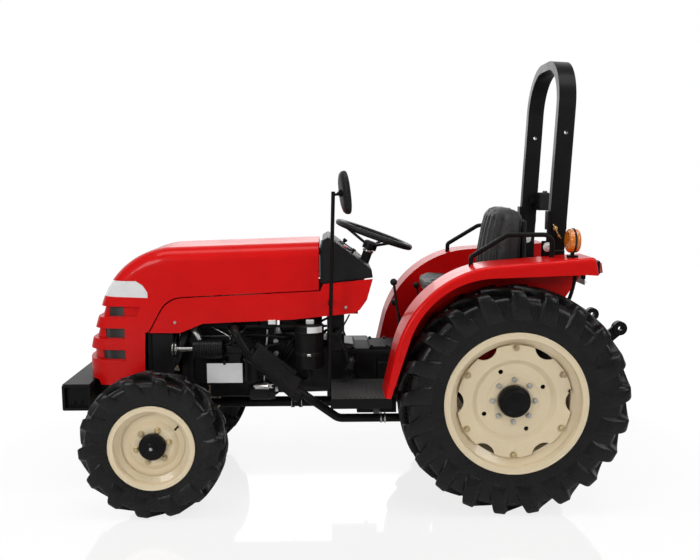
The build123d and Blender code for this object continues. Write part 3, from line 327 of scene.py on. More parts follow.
def group_of(name, inputs, outputs):
    """An empty shader group with named sockets; returns the group, its input and output."""
    group = bpy.data.node_groups.new(name, "ShaderNodeTree")
    for label, kind, value in inputs:
        socket = group.interface.new_socket(label, in_out="INPUT", socket_type=kind)
        socket.default_value = value
    for label, kind in outputs:
        group.interface.new_socket(label, in_out="OUTPUT", socket_type=kind)
    return group, group.nodes.new("NodeGroupInput"), group.nodes.new("NodeGroupOutput")


def add(tree, kind, settings=(), **values):
    """A node with its settings and its inputs by name; an output socket is linked."""
    made = tree.nodes.new(kind)
    for key, value in dict(settings).items():
        setattr(made, key, value)
    for key, value in values.items():
        sockets = [s for s in made.inputs if s.name.replace(" ", "_") == key and s.enabled]
        socket = sockets[0]
        if isinstance(value, bpy.types.NodeSocket):
            tree.links.new(value, socket)
        else:
            socket.default_value = value
    return made


def math_of(tree, operation, first, second=0.0, clamp=False):
    """One arithmetic step on two values or sockets; returns its output."""
    made = tree.nodes.new("ShaderNodeMath")
    made.operation = operation
    made.use_clamp = clamp
    for socket, value in zip(made.inputs, (first, second)):
        if isinstance(value, bpy.types.NodeSocket):
            tree.links.new(value, socket)
        else:
            socket.default_value = value
    return made.outputs[0]


def blend_colours(tree, factor, first, second):
    """A mix of two colours by a factor; returns its output."""
    made = tree.nodes.new("ShaderNodeMix")
    made.data_type = "RGBA"
    for index, value in ((0, factor), (6, first), (7, second)):
        if isinstance(value, bpy.types.NodeSocket):
            tree.links.new(value, made.inputs[index])
        elif index == 0:
            made.inputs[0].default_value = value
        else:
            made.inputs[index].default_value = (*value[:3], 1.0)
    return made.outputs[2]


def ramp_of(tree, value, low, high):
    """A value stretched so that low becomes 0 and high becomes 1, held between them."""
    made = tree.nodes.new("ShaderNodeMapRange")
    made.inputs["From Min"].default_value = low
    made.inputs["From Max"].default_value = high
    tree.links.new(value, made.inputs["Value"])
    return made.outputs["Result"]


def new_material(name):
    """A node material; returns it with its tree and its Principled shader."""
    material = bpy.data.materials.new(name)
    material.use_nodes = True
    return material, material.node_tree, material.node_tree.nodes["Principled BSDF"]


COLOUR, VALUE = "NodeSocketColor", "NodeSocketFloat"

# %% Mottle, grain, dust and wear


def make_mottle():
    """Two colours mixed by low noise stretched about its middle."""
    group, given, out = group_of(
        "mottle", [("Colour", COLOUR, (0.5, 0.5, 0.5, 1)), ("Second", COLOUR, (0.5, 0.5, 0.5, 1)),
                   ("Scale", VALUE, 8.0)], [("Colour", COLOUR), ("Mask", VALUE)])
    place = add(group, "ShaderNodeTexCoord")
    noise = add(group, "ShaderNodeTexNoise", Vector=place.outputs["Object"],
                Scale=given.outputs["Scale"], Detail=5.0, Roughness=0.6)
    mask = ramp_of(group, noise.outputs["Fac"], 0.35, 0.65)
    colour = blend_colours(group, mask, given.outputs["Colour"], given.outputs["Second"])
    group.links.new(colour, out.inputs["Colour"])
    group.links.new(mask, out.inputs["Mask"])
    return group


def make_grain():
    """Fine noise plus the distance to the nearest of many cells, as a height from 0 to 1."""
    group, given, out = group_of(
        "grain", [("Scale", VALUE, 300.0), ("Cells", VALUE, 0.3)], [("Height", VALUE)])
    place = add(group, "ShaderNodeTexCoord")
    noise = add(group, "ShaderNodeTexNoise", Vector=place.outputs["Object"],
                Scale=given.outputs["Scale"], Detail=4.0)
    cells = add(group, "ShaderNodeTexVoronoi", Vector=place.outputs["Object"],
                Scale=given.outputs["Scale"])
    part = math_of(group, "MULTIPLY", cells.outputs["Distance"], given.outputs["Cells"])
    height = math_of(group, "ADD", noise.outputs["Fac"], part)
    group.links.new(height, out.inputs["Height"])
    return group


def make_dust():
    """How far a face looks up, squared, times broken noise, times an amount."""
    group, given, out = group_of(
        "settled dust", [("Amount", VALUE, 0.3), ("Scale", VALUE, 30.0)], [("Mask", VALUE)])
    shape = add(group, "ShaderNodeNewGeometry")
    parts = add(group, "ShaderNodeSeparateXYZ", Vector=shape.outputs["Normal"])
    up = math_of(group, "MAXIMUM", parts.outputs["Z"], 0.0)
    up = math_of(group, "POWER", up, 2.0)
    place = add(group, "ShaderNodeTexCoord")
    noise = add(group, "ShaderNodeTexNoise", Vector=place.outputs["Object"],
                Scale=given.outputs["Scale"], Detail=6.0, Roughness=0.7)
    patch = ramp_of(group, noise.outputs["Fac"], 0.4, 0.75)
    amount = math_of(group, "MULTIPLY", up, patch)
    amount = math_of(group, "MULTIPLY", amount, given.outputs["Amount"], clamp=True)
    group.links.new(amount, out.inputs["Mask"])
    return group


def make_wear():
    """Where the normal of a softened edge turns away from the face's own, broken by noise."""
    group, given, out = group_of(
        "edge wear", [("Radius", VALUE, 0.002), ("Amount", VALUE, 0.5)], [("Mask", VALUE)])
    shape = add(group, "ShaderNodeNewGeometry")
    soft = add(group, "ShaderNodeBevel", {"samples": 4}, Radius=given.outputs["Radius"])
    dot = tree_dot(group, soft.outputs["Normal"], shape.outputs["Normal"])
    edge = math_of(group, "SUBTRACT", 1.0, dot, clamp=True)
    edge = math_of(group, "MULTIPLY", edge, 6.0, clamp=True)
    place = add(group, "ShaderNodeTexCoord")
    noise = add(group, "ShaderNodeTexNoise", Vector=place.outputs["Object"], Scale=90.0,
                Detail=5.0)
    broken = ramp_of(group, noise.outputs["Fac"], 0.45, 0.7)
    mask = math_of(group, "MULTIPLY", edge, broken)
    mask = math_of(group, "MULTIPLY", mask, given.outputs["Amount"], clamp=True)
    group.links.new(mask, out.inputs["Mask"])
    return group


def tree_dot(tree, first, second):
    """Dot product of two vectors, the cosine of the angle between them."""
    made = tree.nodes.new("ShaderNodeVectorMath")
    made.operation = "DOT_PRODUCT"
    tree.links.new(first, made.inputs[0])
    tree.links.new(second, made.inputs[1])
    return made.outputs["Value"]


groups = {"mottle": make_mottle(), "grain": make_grain(), "dust": make_dust(),
          "wear": make_wear()}


def use(tree, name, **values):
    """A shared group placed in a material with its own values."""
    made = tree.nodes.new("ShaderNodeGroup")
    made.node_tree = groups[name]
    for key, value in values.items():
        if isinstance(value, bpy.types.NodeSocket):
            tree.links.new(value, made.inputs[key])
        elif isinstance(value, tuple):
            made.inputs[key].default_value = (*value[:3], 1.0)
        else:
            made.inputs[key].default_value = value
    return made


# %% [markdown]
# ## Finishes
# Most of the tractor is one of about a dozen finishes. Each row of the table gives a base colour
# and its second shade, how rough and how metallic it is, the scale and height of its grain,
# how much dust and edge wear it has, what colour the wear shows, and how strong its clear
# coat is.

# %% Finishes from one table
DUST_COLOUR = (0.32, 0.27, 0.21)
SOFT_EDGE = 0.0015               # radius of the softening of an edge's normals, in metres
WORN_REACH = 1.5                 # how far wear reaches from an edge, in soft edges


def finish(name, colour, second, rough, metal=0.0, grain=400.0, height=0.0002, dust=0.1,
           wear=0.2, bare=(0.35, 0.34, 0.33), coat=0.0, shine=0.25):
    """Base colour = mottle, then wear, then dust; roughness follows the same masks; the bump
    is the grain laid over normals softened at the edges."""
    material, tree, shader = new_material(name)
    base = use(tree, "mottle", Colour=colour, Second=second, Scale=7.0)
    worn = use(tree, "wear", Radius=SOFT_EDGE * WORN_REACH, Amount=wear)
    dusty = use(tree, "dust", Amount=dust, Scale=26.0)
    tone = blend_colours(tree, worn.outputs["Mask"], base.outputs["Colour"], bare)
    tone = blend_colours(tree, dusty.outputs["Mask"], tone, DUST_COLOUR)
    tree.links.new(tone, shader.inputs["Base Color"])
    matt = math_of(tree, "MULTIPLY", base.outputs["Mask"], 0.06)
    matt = math_of(tree, "ADD", matt, rough - 0.03)
    settled = math_of(tree, "MULTIPLY", dusty.outputs["Mask"], 0.5)
    matt = math_of(tree, "ADD", matt, settled, clamp=True)
    tree.links.new(matt, shader.inputs["Roughness"])
    fine = use(tree, "grain", Scale=grain, Cells=0.3)
    soft = add(tree, "ShaderNodeBevel", {"samples": 4}, Radius=SOFT_EDGE)
    bump = add(tree, "ShaderNodeBump", Height=fine.outputs["Height"], Distance=height,
               Normal=soft.outputs["Normal"])
    tree.links.new(bump.outputs["Normal"], shader.inputs["Normal"])
    shader.inputs["Metallic"].default_value = metal
    shader.inputs["Specular IOR Level"].default_value = shine
    shader.inputs["Coat Weight"].default_value = coat
    shader.inputs["Coat Roughness"].default_value = 0.03
    shader.inputs["Coat IOR"].default_value = 1.4
    return material


finishes = {
    "red": finish("gloss red paint", (0.64, 0.005, 0.005), (0.59, 0.004, 0.004), 0.32,
                  grain=60, height=0.00002, dust=0.0, wear=0.03, coat=0.22, shine=0.1),
    "cream": finish("cream wheel paint", (0.78, 0.655, 0.45), (0.74, 0.62, 0.42), 0.36,
                    grain=120, height=0.00003, dust=0.05, wear=0.05, coat=0.5),
    "black": finish("gloss black paint", (0.006, 0.006, 0.006), (0.009, 0.008, 0.008), 0.34,
                    grain=160, height=0.00004, dust=0.01, wear=0.06, coat=0.05, shine=0.08),
    "casting": finish("painted casting", (0.007, 0.007, 0.007), (0.013, 0.012, 0.012), 0.58,
                      grain=420, height=0.0006, dust=0.015, wear=0.12, coat=0.02, shine=0.08),
    "engine": finish("painted engine iron", (0.006, 0.006, 0.006), (0.012, 0.011, 0.011), 0.36,
                     grain=300, height=0.0004, dust=0.015, wear=0.16, coat=0.06, shine=0.15),
    "steel": finish("bright steel", (0.62, 0.61, 0.59), (0.50, 0.49, 0.47), 0.30, metal=1.0,
                    grain=500, height=0.00005, dust=0.05, wear=0.1),
    "zinc": finish("yellow zinc plate", (0.62, 0.50, 0.26), (0.50, 0.42, 0.30), 0.34,
                   metal=0.9, grain=300, height=0.00005, dust=0.05, wear=0.1),
    "galvanised": finish("dull zinc plate", (0.55, 0.55, 0.54), (0.42, 0.42, 0.41), 0.40,
                         metal=0.8, grain=200, height=0.00008, dust=0.05, wear=0.1),
    "plastic": finish("moulded black plastic", (0.007, 0.007, 0.007), (0.010, 0.010, 0.010),
                      0.46, grain=900, height=0.00025, dust=0.03, wear=0.05,
                      bare=(0.05, 0.05, 0.05), shine=0.2),
    "rubber": finish("hose rubber", (0.006, 0.006, 0.006), (0.010, 0.010, 0.010), 0.50,
                     grain=600, height=0.0002, dust=0.03, wear=0.05, bare=(0.04, 0.04, 0.04),
                     shine=0.2),
    "white": finish("white plastic", (0.72, 0.72, 0.70), (0.66, 0.66, 0.63), 0.40,
                    grain=300, height=0.00005, dust=0.06, wear=0.02, bare=(0.5, 0.5, 0.48)),
    "plate": finish("blank white plate", (0.80, 0.80, 0.80), (0.74, 0.74, 0.74), 0.35,
                    grain=200, height=0.00003, dust=0.04, wear=0.05),
    "brass": finish("brass", (0.55, 0.36, 0.14), (0.42, 0.28, 0.12), 0.32, metal=1.0,
                    grain=300, height=0.00004, dust=0.05, wear=0.1),
}
print("finishes:", len(finishes))

# %% [markdown]
# ## Tyre rubber
# A tractor tyre is carbon-black rubber: nearly black, a little brown where it is dusty, with
# a soft sheen on the shoulders. The same material serves carcass and cleats.

# %% Rubber finish


def make_tyre_rubber():
    """Two near-black tones, dust in the low frequencies, and a fine moulded grain."""
    material, tree, shader = new_material("tyre rubber")
    base = use(tree, "mottle", Colour=(0.003, 0.003, 0.003), Second=(0.006, 0.006, 0.006),
               Scale=14.0)
    dusty = use(tree, "dust", Amount=0.02, Scale=18.0)
    tone = blend_colours(tree, dusty.outputs["Mask"], base.outputs["Colour"],
                         (0.10, 0.09, 0.08))
    tree.links.new(tone, shader.inputs["Base Color"])
    matt = math_of(tree, "MULTIPLY", base.outputs["Mask"], 0.14)
    matt = math_of(tree, "ADD", matt, 0.22)
    tree.links.new(matt, shader.inputs["Roughness"])
    fine = use(tree, "grain", Scale=260.0, Cells=0.6)
    bump = add(tree, "ShaderNodeBump", Height=fine.outputs["Height"], Distance=0.0005)
    tree.links.new(bump.outputs["Normal"], shader.inputs["Normal"])
    shader.inputs["Specular IOR Level"].default_value = 0.26
    return material


rubber = make_tyre_rubber()

# %% [markdown]
# ## Tyres
# A traction tyre is a rounded carcass with two staggered rows of slanting cleats. The
# carcass is a turned profile. A cleat is a block carried along a path that starts near the
# middle of the tread, slants back towards the shoulder and runs a little way down the
# sidewall, so it is worked out as a grid: one parameter along the path and one across it.

# %% Carcass profile
SIDES_PER_PITCH = 8
SIDE_STEP = 0.045                # how far a cleat's side stands off the carcass, in widths


def carcass_profile(radius, width, bead, rim_width, cleat):
    """Outline in (distance across, radius) of one side, from the bead to the crown: the
    bead, a bulge whose width follows a half sine, a rounded shoulder and a low crown."""
    half, seat = width / 2 - SIDE_STEP * width, rim_width / 2
    base = radius - cleat
    lip = bead + 0.022
    climb = np.linspace(0, 1, 10)
    wall = base - 0.26 * (base - lip)
    bulge = np.stack([seat + (half - seat) * np.sin(climb * np.pi / 2) ** 0.8,
                      lip + (wall - lip) * climb], axis=1)
    round_on = np.linspace(0, np.pi / 2, 7)[1:]
    corner_w, corner_h = 0.30 * half, base - 0.035 * half - wall
    corner = np.stack([half - corner_w * (1 - np.cos(round_on)),
                       wall + corner_h * np.sin(round_on)], axis=1)
    crown = np.stack([np.linspace(corner[-1, 0], 0, 6)[1:],
                      np.linspace(corner[-1, 1], base, 6)[1:]], axis=1)
    start = np.array([[seat - 0.012, bead + 0.002], [seat, bead + 0.006]])
    return np.vstack([start, bulge, corner, crown])


def whole_profile(one_side):
    """The outline of both sides: the given one, then its mirror image back to the bead."""
    other = one_side[-2::-1] * (-1, 1)
    return np.vstack([one_side, other])


def carcass(radius, width, bead, rim_width, cleat, sides):
    """The profile turned about the axle, closed inside by the line between its beads."""
    profile = whole_profile(carcass_profile(radius, width, bead, rim_width, cleat))
    return lathe(profile, sides=sides, ring=True)


def along_line(line, share):
    """Points that have run a share (0 to 1) of a line's length, by interpolation."""
    length = np.concatenate([[0], np.cumsum(np.linalg.norm(np.diff(line, axis=0), axis=1))])
    at = share * length[-1]
    return np.stack([np.interp(at, length, line[:, k]) for k in (0, 1)], axis=-1)


def cleat_top(share, radius, half, reach_down):
    """(distance across, radius) of a cleat's top at a share of its run: level over the
    tread, round the shoulder, then down the side by a given height."""
    line = np.array([(0, radius), (0.80 * half, radius - 0.003), (0.92 * half, radius - 0.008),
                     (0.975 * half, radius - 0.018), (half, radius - 0.034),
                     (half, radius - reach_down)])
    return along_line(line, np.clip(share, 0, 1))


def cleat_block(one_side, run, reach, thick, radius, half, reach_down):
    """One cleat of the +Y side. s runs from the crown's middle to its end on the sidewall.
    The centre line's angle is run * (0.66 * (1 - (1 - s/0.4)^1.7) + 0.6 * s), with the first
    part held at s = 0.4 and the second at 0.85, so the cleat slants most in the middle of the
    tread. Each section goes from the carcass at its foot to the level top, and its height
    fades to nothing at the end, so the cleat ends in a rounded slope."""
    share = np.concatenate([[-0.045], np.linspace(0, 0.9, 15), [0.95, 0.985, 1.0]])
    bend = 1 - (1 - np.clip(share / 0.40, 0, 1)) ** 1.7
    angle = run * (0.66 * bend + 0.6 * np.clip(share, 0, 0.85))
    fade = np.clip((1 - share) / 0.16, 0, 1) ** 0.6 * np.clip(share / 0.02 + 3.0, 0.8, 1)
    foot = along_line(one_side[::-1], np.abs(share) * reach)
    top = cleat_top(np.abs(share), radius, half, reach_down)
    foot[share < 0, 0] *= -1
    top[share < 0, 0] *= -1
    wide = thick * (1 + 0.55 * np.clip(share, 0, 0.75))
    section = np.array([(-0.62, -0.2), (-0.50, 0.62), (-0.44, 0.90), (-0.35, 1.0),
                        (0.35, 1.0), (0.44, 0.90), (0.50, 0.62), (0.62, -0.2)])
    lift = section[None, :, 1] * fade[:, None]
    y = foot[:, None, 0] + (top - foot)[:, None, 0] * lift
    r = foot[:, None, 1] + (top - foot)[:, None, 1] * lift
    t = angle[:, None] + section[None, :, 0] * wide[:, None] / r
    points = np.stack([r * np.cos(t), y, r * np.sin(t)], axis=-1)
    flat, faces = grid(points, wrap_cols=True)
    return flat, faces + end_faces(len(share), len(section))


def around(shape, count, offset=0.0):
    """Copies of a shape at equal angles about the Y axis."""
    step = 2 * np.pi / count
    return gather(*[turned(shape, (0, 1, 0), -(offset + n * step)) for n in range(count)])


def tyre(radius, width, bead, rim_width, cleat, count, run, reach, thick, reach_down):
    """Carcass and both rows of cleats about the origin; the second row is the first one
    mirrored and moved on by half a pitch. The first cleat starts at the ground."""
    one_side = carcass_profile(radius, width, bead, rim_width, cleat)
    block = cleat_block(one_side, run, reach, thick, radius, width / 2, reach_down)
    start = -np.pi / 2 - 0.4 * thick / (radius - cleat)
    row = around(block, count, start)
    other = around(flipped(block), count, start + np.pi / count)
    body = carcass(radius, width, bead, rim_width, cleat, count * SIDES_PER_PITCH)
    return gather(body, row, other)


# %% Rear and front tyres
WHEELS = {
    # name: radius, width, bead radius, rim width, cleat height, cleats, run, reach, thickness,
    # and how far a cleat comes down the side
    "rear": (0.525, 0.241, 0.3048, 0.2032, 0.034, 21, -0.25, 0.70, 0.050, 0.125),
    "front": (0.332, 0.160, 0.1778, 0.127, 0.026, 14, -0.34, 0.70, 0.044, 0.086),
}


def middle(node):
    """The centre of a node's box."""
    low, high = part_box(node)
    return np.array((low + high) / 2)


for axle, values in WHEELS.items():
    shape = tyre(*values)
    for side in ("left", "right"):
        node = f"{axle}_tyre_{side}"
        made = shape if side == "left" else flipped(shape)
        piece(f"{axle}_tyre_dressed_{side}", shift(made, middle(node)), rubber,
              f"{axle}_wheel_{side}", [node], 40)

# %% [markdown]
# ## Wheel hardware
# Each disc is held by nuts round its hub, and the rear discs also by clamp bolts at the ends
# of their six lobes. The rows give circle radius, number, first angle, distance of the seat
# from the wheel's middle plane and size across flats.

# %% Nuts and clamp bolts on the wheels
WHEEL_BOLTS = [
    # wheel, circle radius, number, first angle, seat, across flats, finish
    ("rear", 0.099, 8, 0.0, 0.043, 0.022, "galvanised"),
    ("rear", 0.250, 6, 30.0, 0.065, 0.020, "zinc"),
    ("front", 0.075, 6, 12.0, 0.032, 0.020, "zinc"),
]


def bolt_circle(radius, number, first, seat, across):
    """Bolts whose heads look towards -Y, spaced evenly about the Y axis."""
    made = []
    for n in range(number):
        angle = math.radians(first) + 2 * math.pi * n / number
        at = (radius * math.cos(angle), -seat, radius * math.sin(angle))
        made.append(bolt(at, (0, -1, 0), across, start=angle))
        stud = lathe([(0, across * 0.32), (across * 0.72, across * 0.32),
                      (across * 0.8, across * 0.24)], at, (0, -1, 0), sides=14)
        made.append(stud)
    return gather(*made)


for number, (wheel, *row, look) in enumerate(WHEEL_BOLTS):
    shape = bolt_circle(*row)
    for side in ("left", "right"):
        made = shape if side == "left" else flipped(shape)
        piece(f"{wheel}_bolts_{number}_{side}", shift(made, middle(f"{wheel}_tyre_{side}")),
              finishes[look], f"{wheel}_wheel_{side}")

# %% [markdown]
# ## Lamps, glass and vinyl
# Lamps need their own finishes: a milky cover in front of the headlights, ribbed amber and
# red lenses, and a mirror. The seat and the floor mat are moulded with a leather grain.

# %% Lens, mirror and moulded finishes


def make_lens(name, colour, through, rough, ribs=0.0):
    """A moulded lens: coloured, partly see-through, with ribs as a wave bump."""
    material, tree, shader = new_material(name)
    base = use(tree, "mottle", Colour=colour, Second=tuple(0.9 * c for c in colour), Scale=12.0)
    tree.links.new(base.outputs["Colour"], shader.inputs["Base Color"])
    shader.inputs["Roughness"].default_value = rough
    shader.inputs["Transmission Weight"].default_value = through
    shader.inputs["Coat Weight"].default_value = 1.0
    if ribs:
        place = add(tree, "ShaderNodeTexCoord")
        wave = add(tree, "ShaderNodeTexWave", {"wave_type": "BANDS", "bands_direction": "Z"},
                   Vector=place.outputs["Object"], Scale=ribs)
        bump = add(tree, "ShaderNodeBump", Height=wave.outputs["Fac"], Distance=0.001)
        tree.links.new(bump.outputs["Normal"], shader.inputs["Normal"])
    return material


finishes["milky"] = make_lens("milky lamp cover", (0.86, 0.86, 0.86), 0.05, 0.22)
finishes["amber"] = make_lens("amber lens", (0.90, 0.24, 0.01), 0.25, 0.12, ribs=28.0)
finishes["red_lens"] = make_lens("red lens", (0.55, 0.01, 0.01), 0.2, 0.12, ribs=60.0)
finishes["glass"] = make_lens("lamp glass", (0.8, 0.8, 0.8), 0.5, 0.08, ribs=60.0)
finishes["mirror"] = finish("mirror glass", (0.75, 0.77, 0.78), (0.72, 0.74, 0.75), 0.05,
                            metal=1.0, grain=20, height=0.0, dust=0.02, wear=0.0)


def make_leather_grain(name, colour, second, rough, scale, height):
    """Vinyl: cells of a Voronoi pattern give the pebbles, a second scale the fine creases."""
    material, tree, shader = new_material(name)
    base = use(tree, "mottle", Colour=colour, Second=second, Scale=9.0)
    dusty = use(tree, "dust", Amount=0.03, Scale=30.0)
    tone = blend_colours(tree, dusty.outputs["Mask"], base.outputs["Colour"], DUST_COLOUR)
    tree.links.new(tone, shader.inputs["Base Color"])
    matt = math_of(tree, "MULTIPLY", base.outputs["Mask"], 0.1)
    matt = math_of(tree, "ADD", matt, rough)
    tree.links.new(matt, shader.inputs["Roughness"])
    place = add(tree, "ShaderNodeTexCoord")
    pebble = add(tree, "ShaderNodeTexVoronoi", {"feature": "SMOOTH_F1"},
                 Vector=place.outputs["Object"], Scale=scale)
    crease = add(tree, "ShaderNodeTexNoise", Vector=place.outputs["Object"], Scale=scale * 3,
                 Detail=4.0)
    fine = math_of(tree, "MULTIPLY", crease.outputs["Fac"], 0.4)
    level = math_of(tree, "SUBTRACT", fine, pebble.outputs["Distance"])
    bump = add(tree, "ShaderNodeBump", Height=level, Distance=height)
    tree.links.new(bump.outputs["Normal"], shader.inputs["Normal"])
    return material


finishes["vinyl"] = make_leather_grain("black seat vinyl", (0.009, 0.009, 0.010),
                                       (0.013, 0.013, 0.014), 0.46, 420.0, 0.0008)
finishes["mat"] = make_leather_grain("rubber floor mat", (0.022, 0.022, 0.022),
                                     (0.030, 0.030, 0.030), 0.6, 260.0, 0.0010)


WAVE_AT_ONE = 0.314              # metres from band to band of a wave whose scale is 1


def make_fins_with_painted_shade(name, direction, pitch):
    """A radiator core: one wave across one direction makes the fins as a bump, and the same wave paints
    their shading: painted shade in the low bands between the fins and painted light on the raised bands.
    """
    material, tree, shader = new_material(name)
    place = add(tree, "ShaderNodeTexCoord")
    wave = add(tree, "ShaderNodeTexWave", {"wave_type": "BANDS",
                                           "bands_direction": direction},
               Vector=place.outputs["Object"], Scale=WAVE_AT_ONE / pitch)
    # Painted shade and light: near black where the wave is low between the fins, lighter where it is
    # raised.
    tone = blend_colours(tree, wave.outputs["Fac"], (0.004, 0.004, 0.004),
                         (0.045, 0.045, 0.045))
    tree.links.new(tone, shader.inputs["Base Color"])
    bump = add(tree, "ShaderNodeBump", Height=wave.outputs["Fac"], Distance=0.002)
    tree.links.new(bump.outputs["Normal"], shader.inputs["Normal"])
    shader.inputs["Roughness"].default_value = 0.55
    return material


# The radiator and the grille screen both get bands of painted shade between their fins.
finishes["fins"] = make_fins_with_painted_shade("radiator fins", "Z", 0.006)
finishes["screen"] = make_fins_with_painted_shade("grille screen", "Y", 0.010)

# %% [markdown]
# ## Finish of every solid that stays
# The rest of the tractor keeps the solids it has. A table from node to finish paints them;
# a node that isn't named in it gets the plain casting finish.

# %% Paint the solids
PAINT = {
    "red": ["hood", "side_panels", "fender_left", "fender_right"],
    "cream": ["rear_wheel_left", "rear_wheel_right", "front_wheel_left", "front_wheel_right"],
    "black": ["rops_hoop", "rops_posts", "fender_rails", "exhaust", "weight_carrier",
              "mirror_stalk", "drive_shaft", "front_frame", "oil_canister", "tie_rod",
              "drawbar", "lift_rod_left", "lift_rod_right", "lower_link_left",
              "lower_link_right", "steering_wheel", "rear_hub_left", "rear_hub_right",
              "front_hub_left", "front_hub_right"],
    "engine": ["engine", "engine_fittings", "clutch_housing", "front_axle"],
    "plastic": ["dash", "dash_pedestal", "mirror_head", "controls", "work_lamp",
                "seat_stand"],
    "fins": ["radiator"],
    "screen": ["grille_screen"],
    "milky": ["headlights"],
    "amber": ["indicators"],
    "red_lens": ["tail_lamps"],
    "mat": ["platforms"],
    "vinyl": ["seat_cushion", "seat_back"],
    "steel": ["pto_shaft"],
}
look_of = {node: look for look, members in PAINT.items() for node in members}
for name, solid in nodes.items():
    material = finishes[look_of.get(name, "casting")]
    for slot in solid.material_slots:
        slot.material = material
    if not solid.material_slots:
        solid.data.materials.append(material)
print("painted:", len(nodes), "solids,", len(look_of), "of them from the table")

# %% [markdown]
# ## Places in millimetres
# The small pieces below come from tables. Their places are millimetres behind the rear axle,
# to the tractor's right and above the ground, because that is how one measures a tractor;
# one function turns them into metres in the model's own frame.

# %% Millimetres from the rear axle
REAR_AXLE_X = float(middle("rear_tyre_left")[0])


def mm(places):
    """Points in millimetres behind the rear axle, as metres in the shared frame."""
    return np.asarray(places, float) / 1000 + (REAR_AXLE_X, 0, 0)


def to_metres(shape, at):
    """A shape whose own points are millimetres, set at a place in millimetres."""
    return shape[0] / 1000 + mm(at), shape[1]


def on_both(name, shape, material, body="root", mirrored=True):
    """A piece, and its mirror image on the right where a row asks for it; a body whose name
    ends in _left has its partner on the right."""
    if mirrored:
        piece(f"{name}_left", shape, material, body)
        piece(f"{name}_right", flipped(shape), material, body.replace("_left", "_right"))
    else:
        piece(name, shape, material, body)


print("rear axle at X", round(REAR_AXLE_X, 4))


# %% [markdown]
# ## Turned details
# Hub faces, alternator fins, clamps, collars and lids are turned forms. A row names the
# piece, the body it rides on, its finish, the centre of its first section, its axis, and the
# outline in pairs of distance along the axis and radius.

# %% Turned pieces from a table


def fins(length, pitch, low, high):
    """Outline of a finned barrel: each fin is a trapezium between a low and a high radius."""
    line = [(0.0, low)]
    for at in np.arange(pitch / 2, length - pitch / 2, pitch):
        line += [(at - 0.25 * pitch, low), (at - 0.12 * pitch, high), (at + 0.12 * pitch, high),
                 (at + 0.25 * pitch, low)]
    return line + [(length, low), (length, 0.5)]


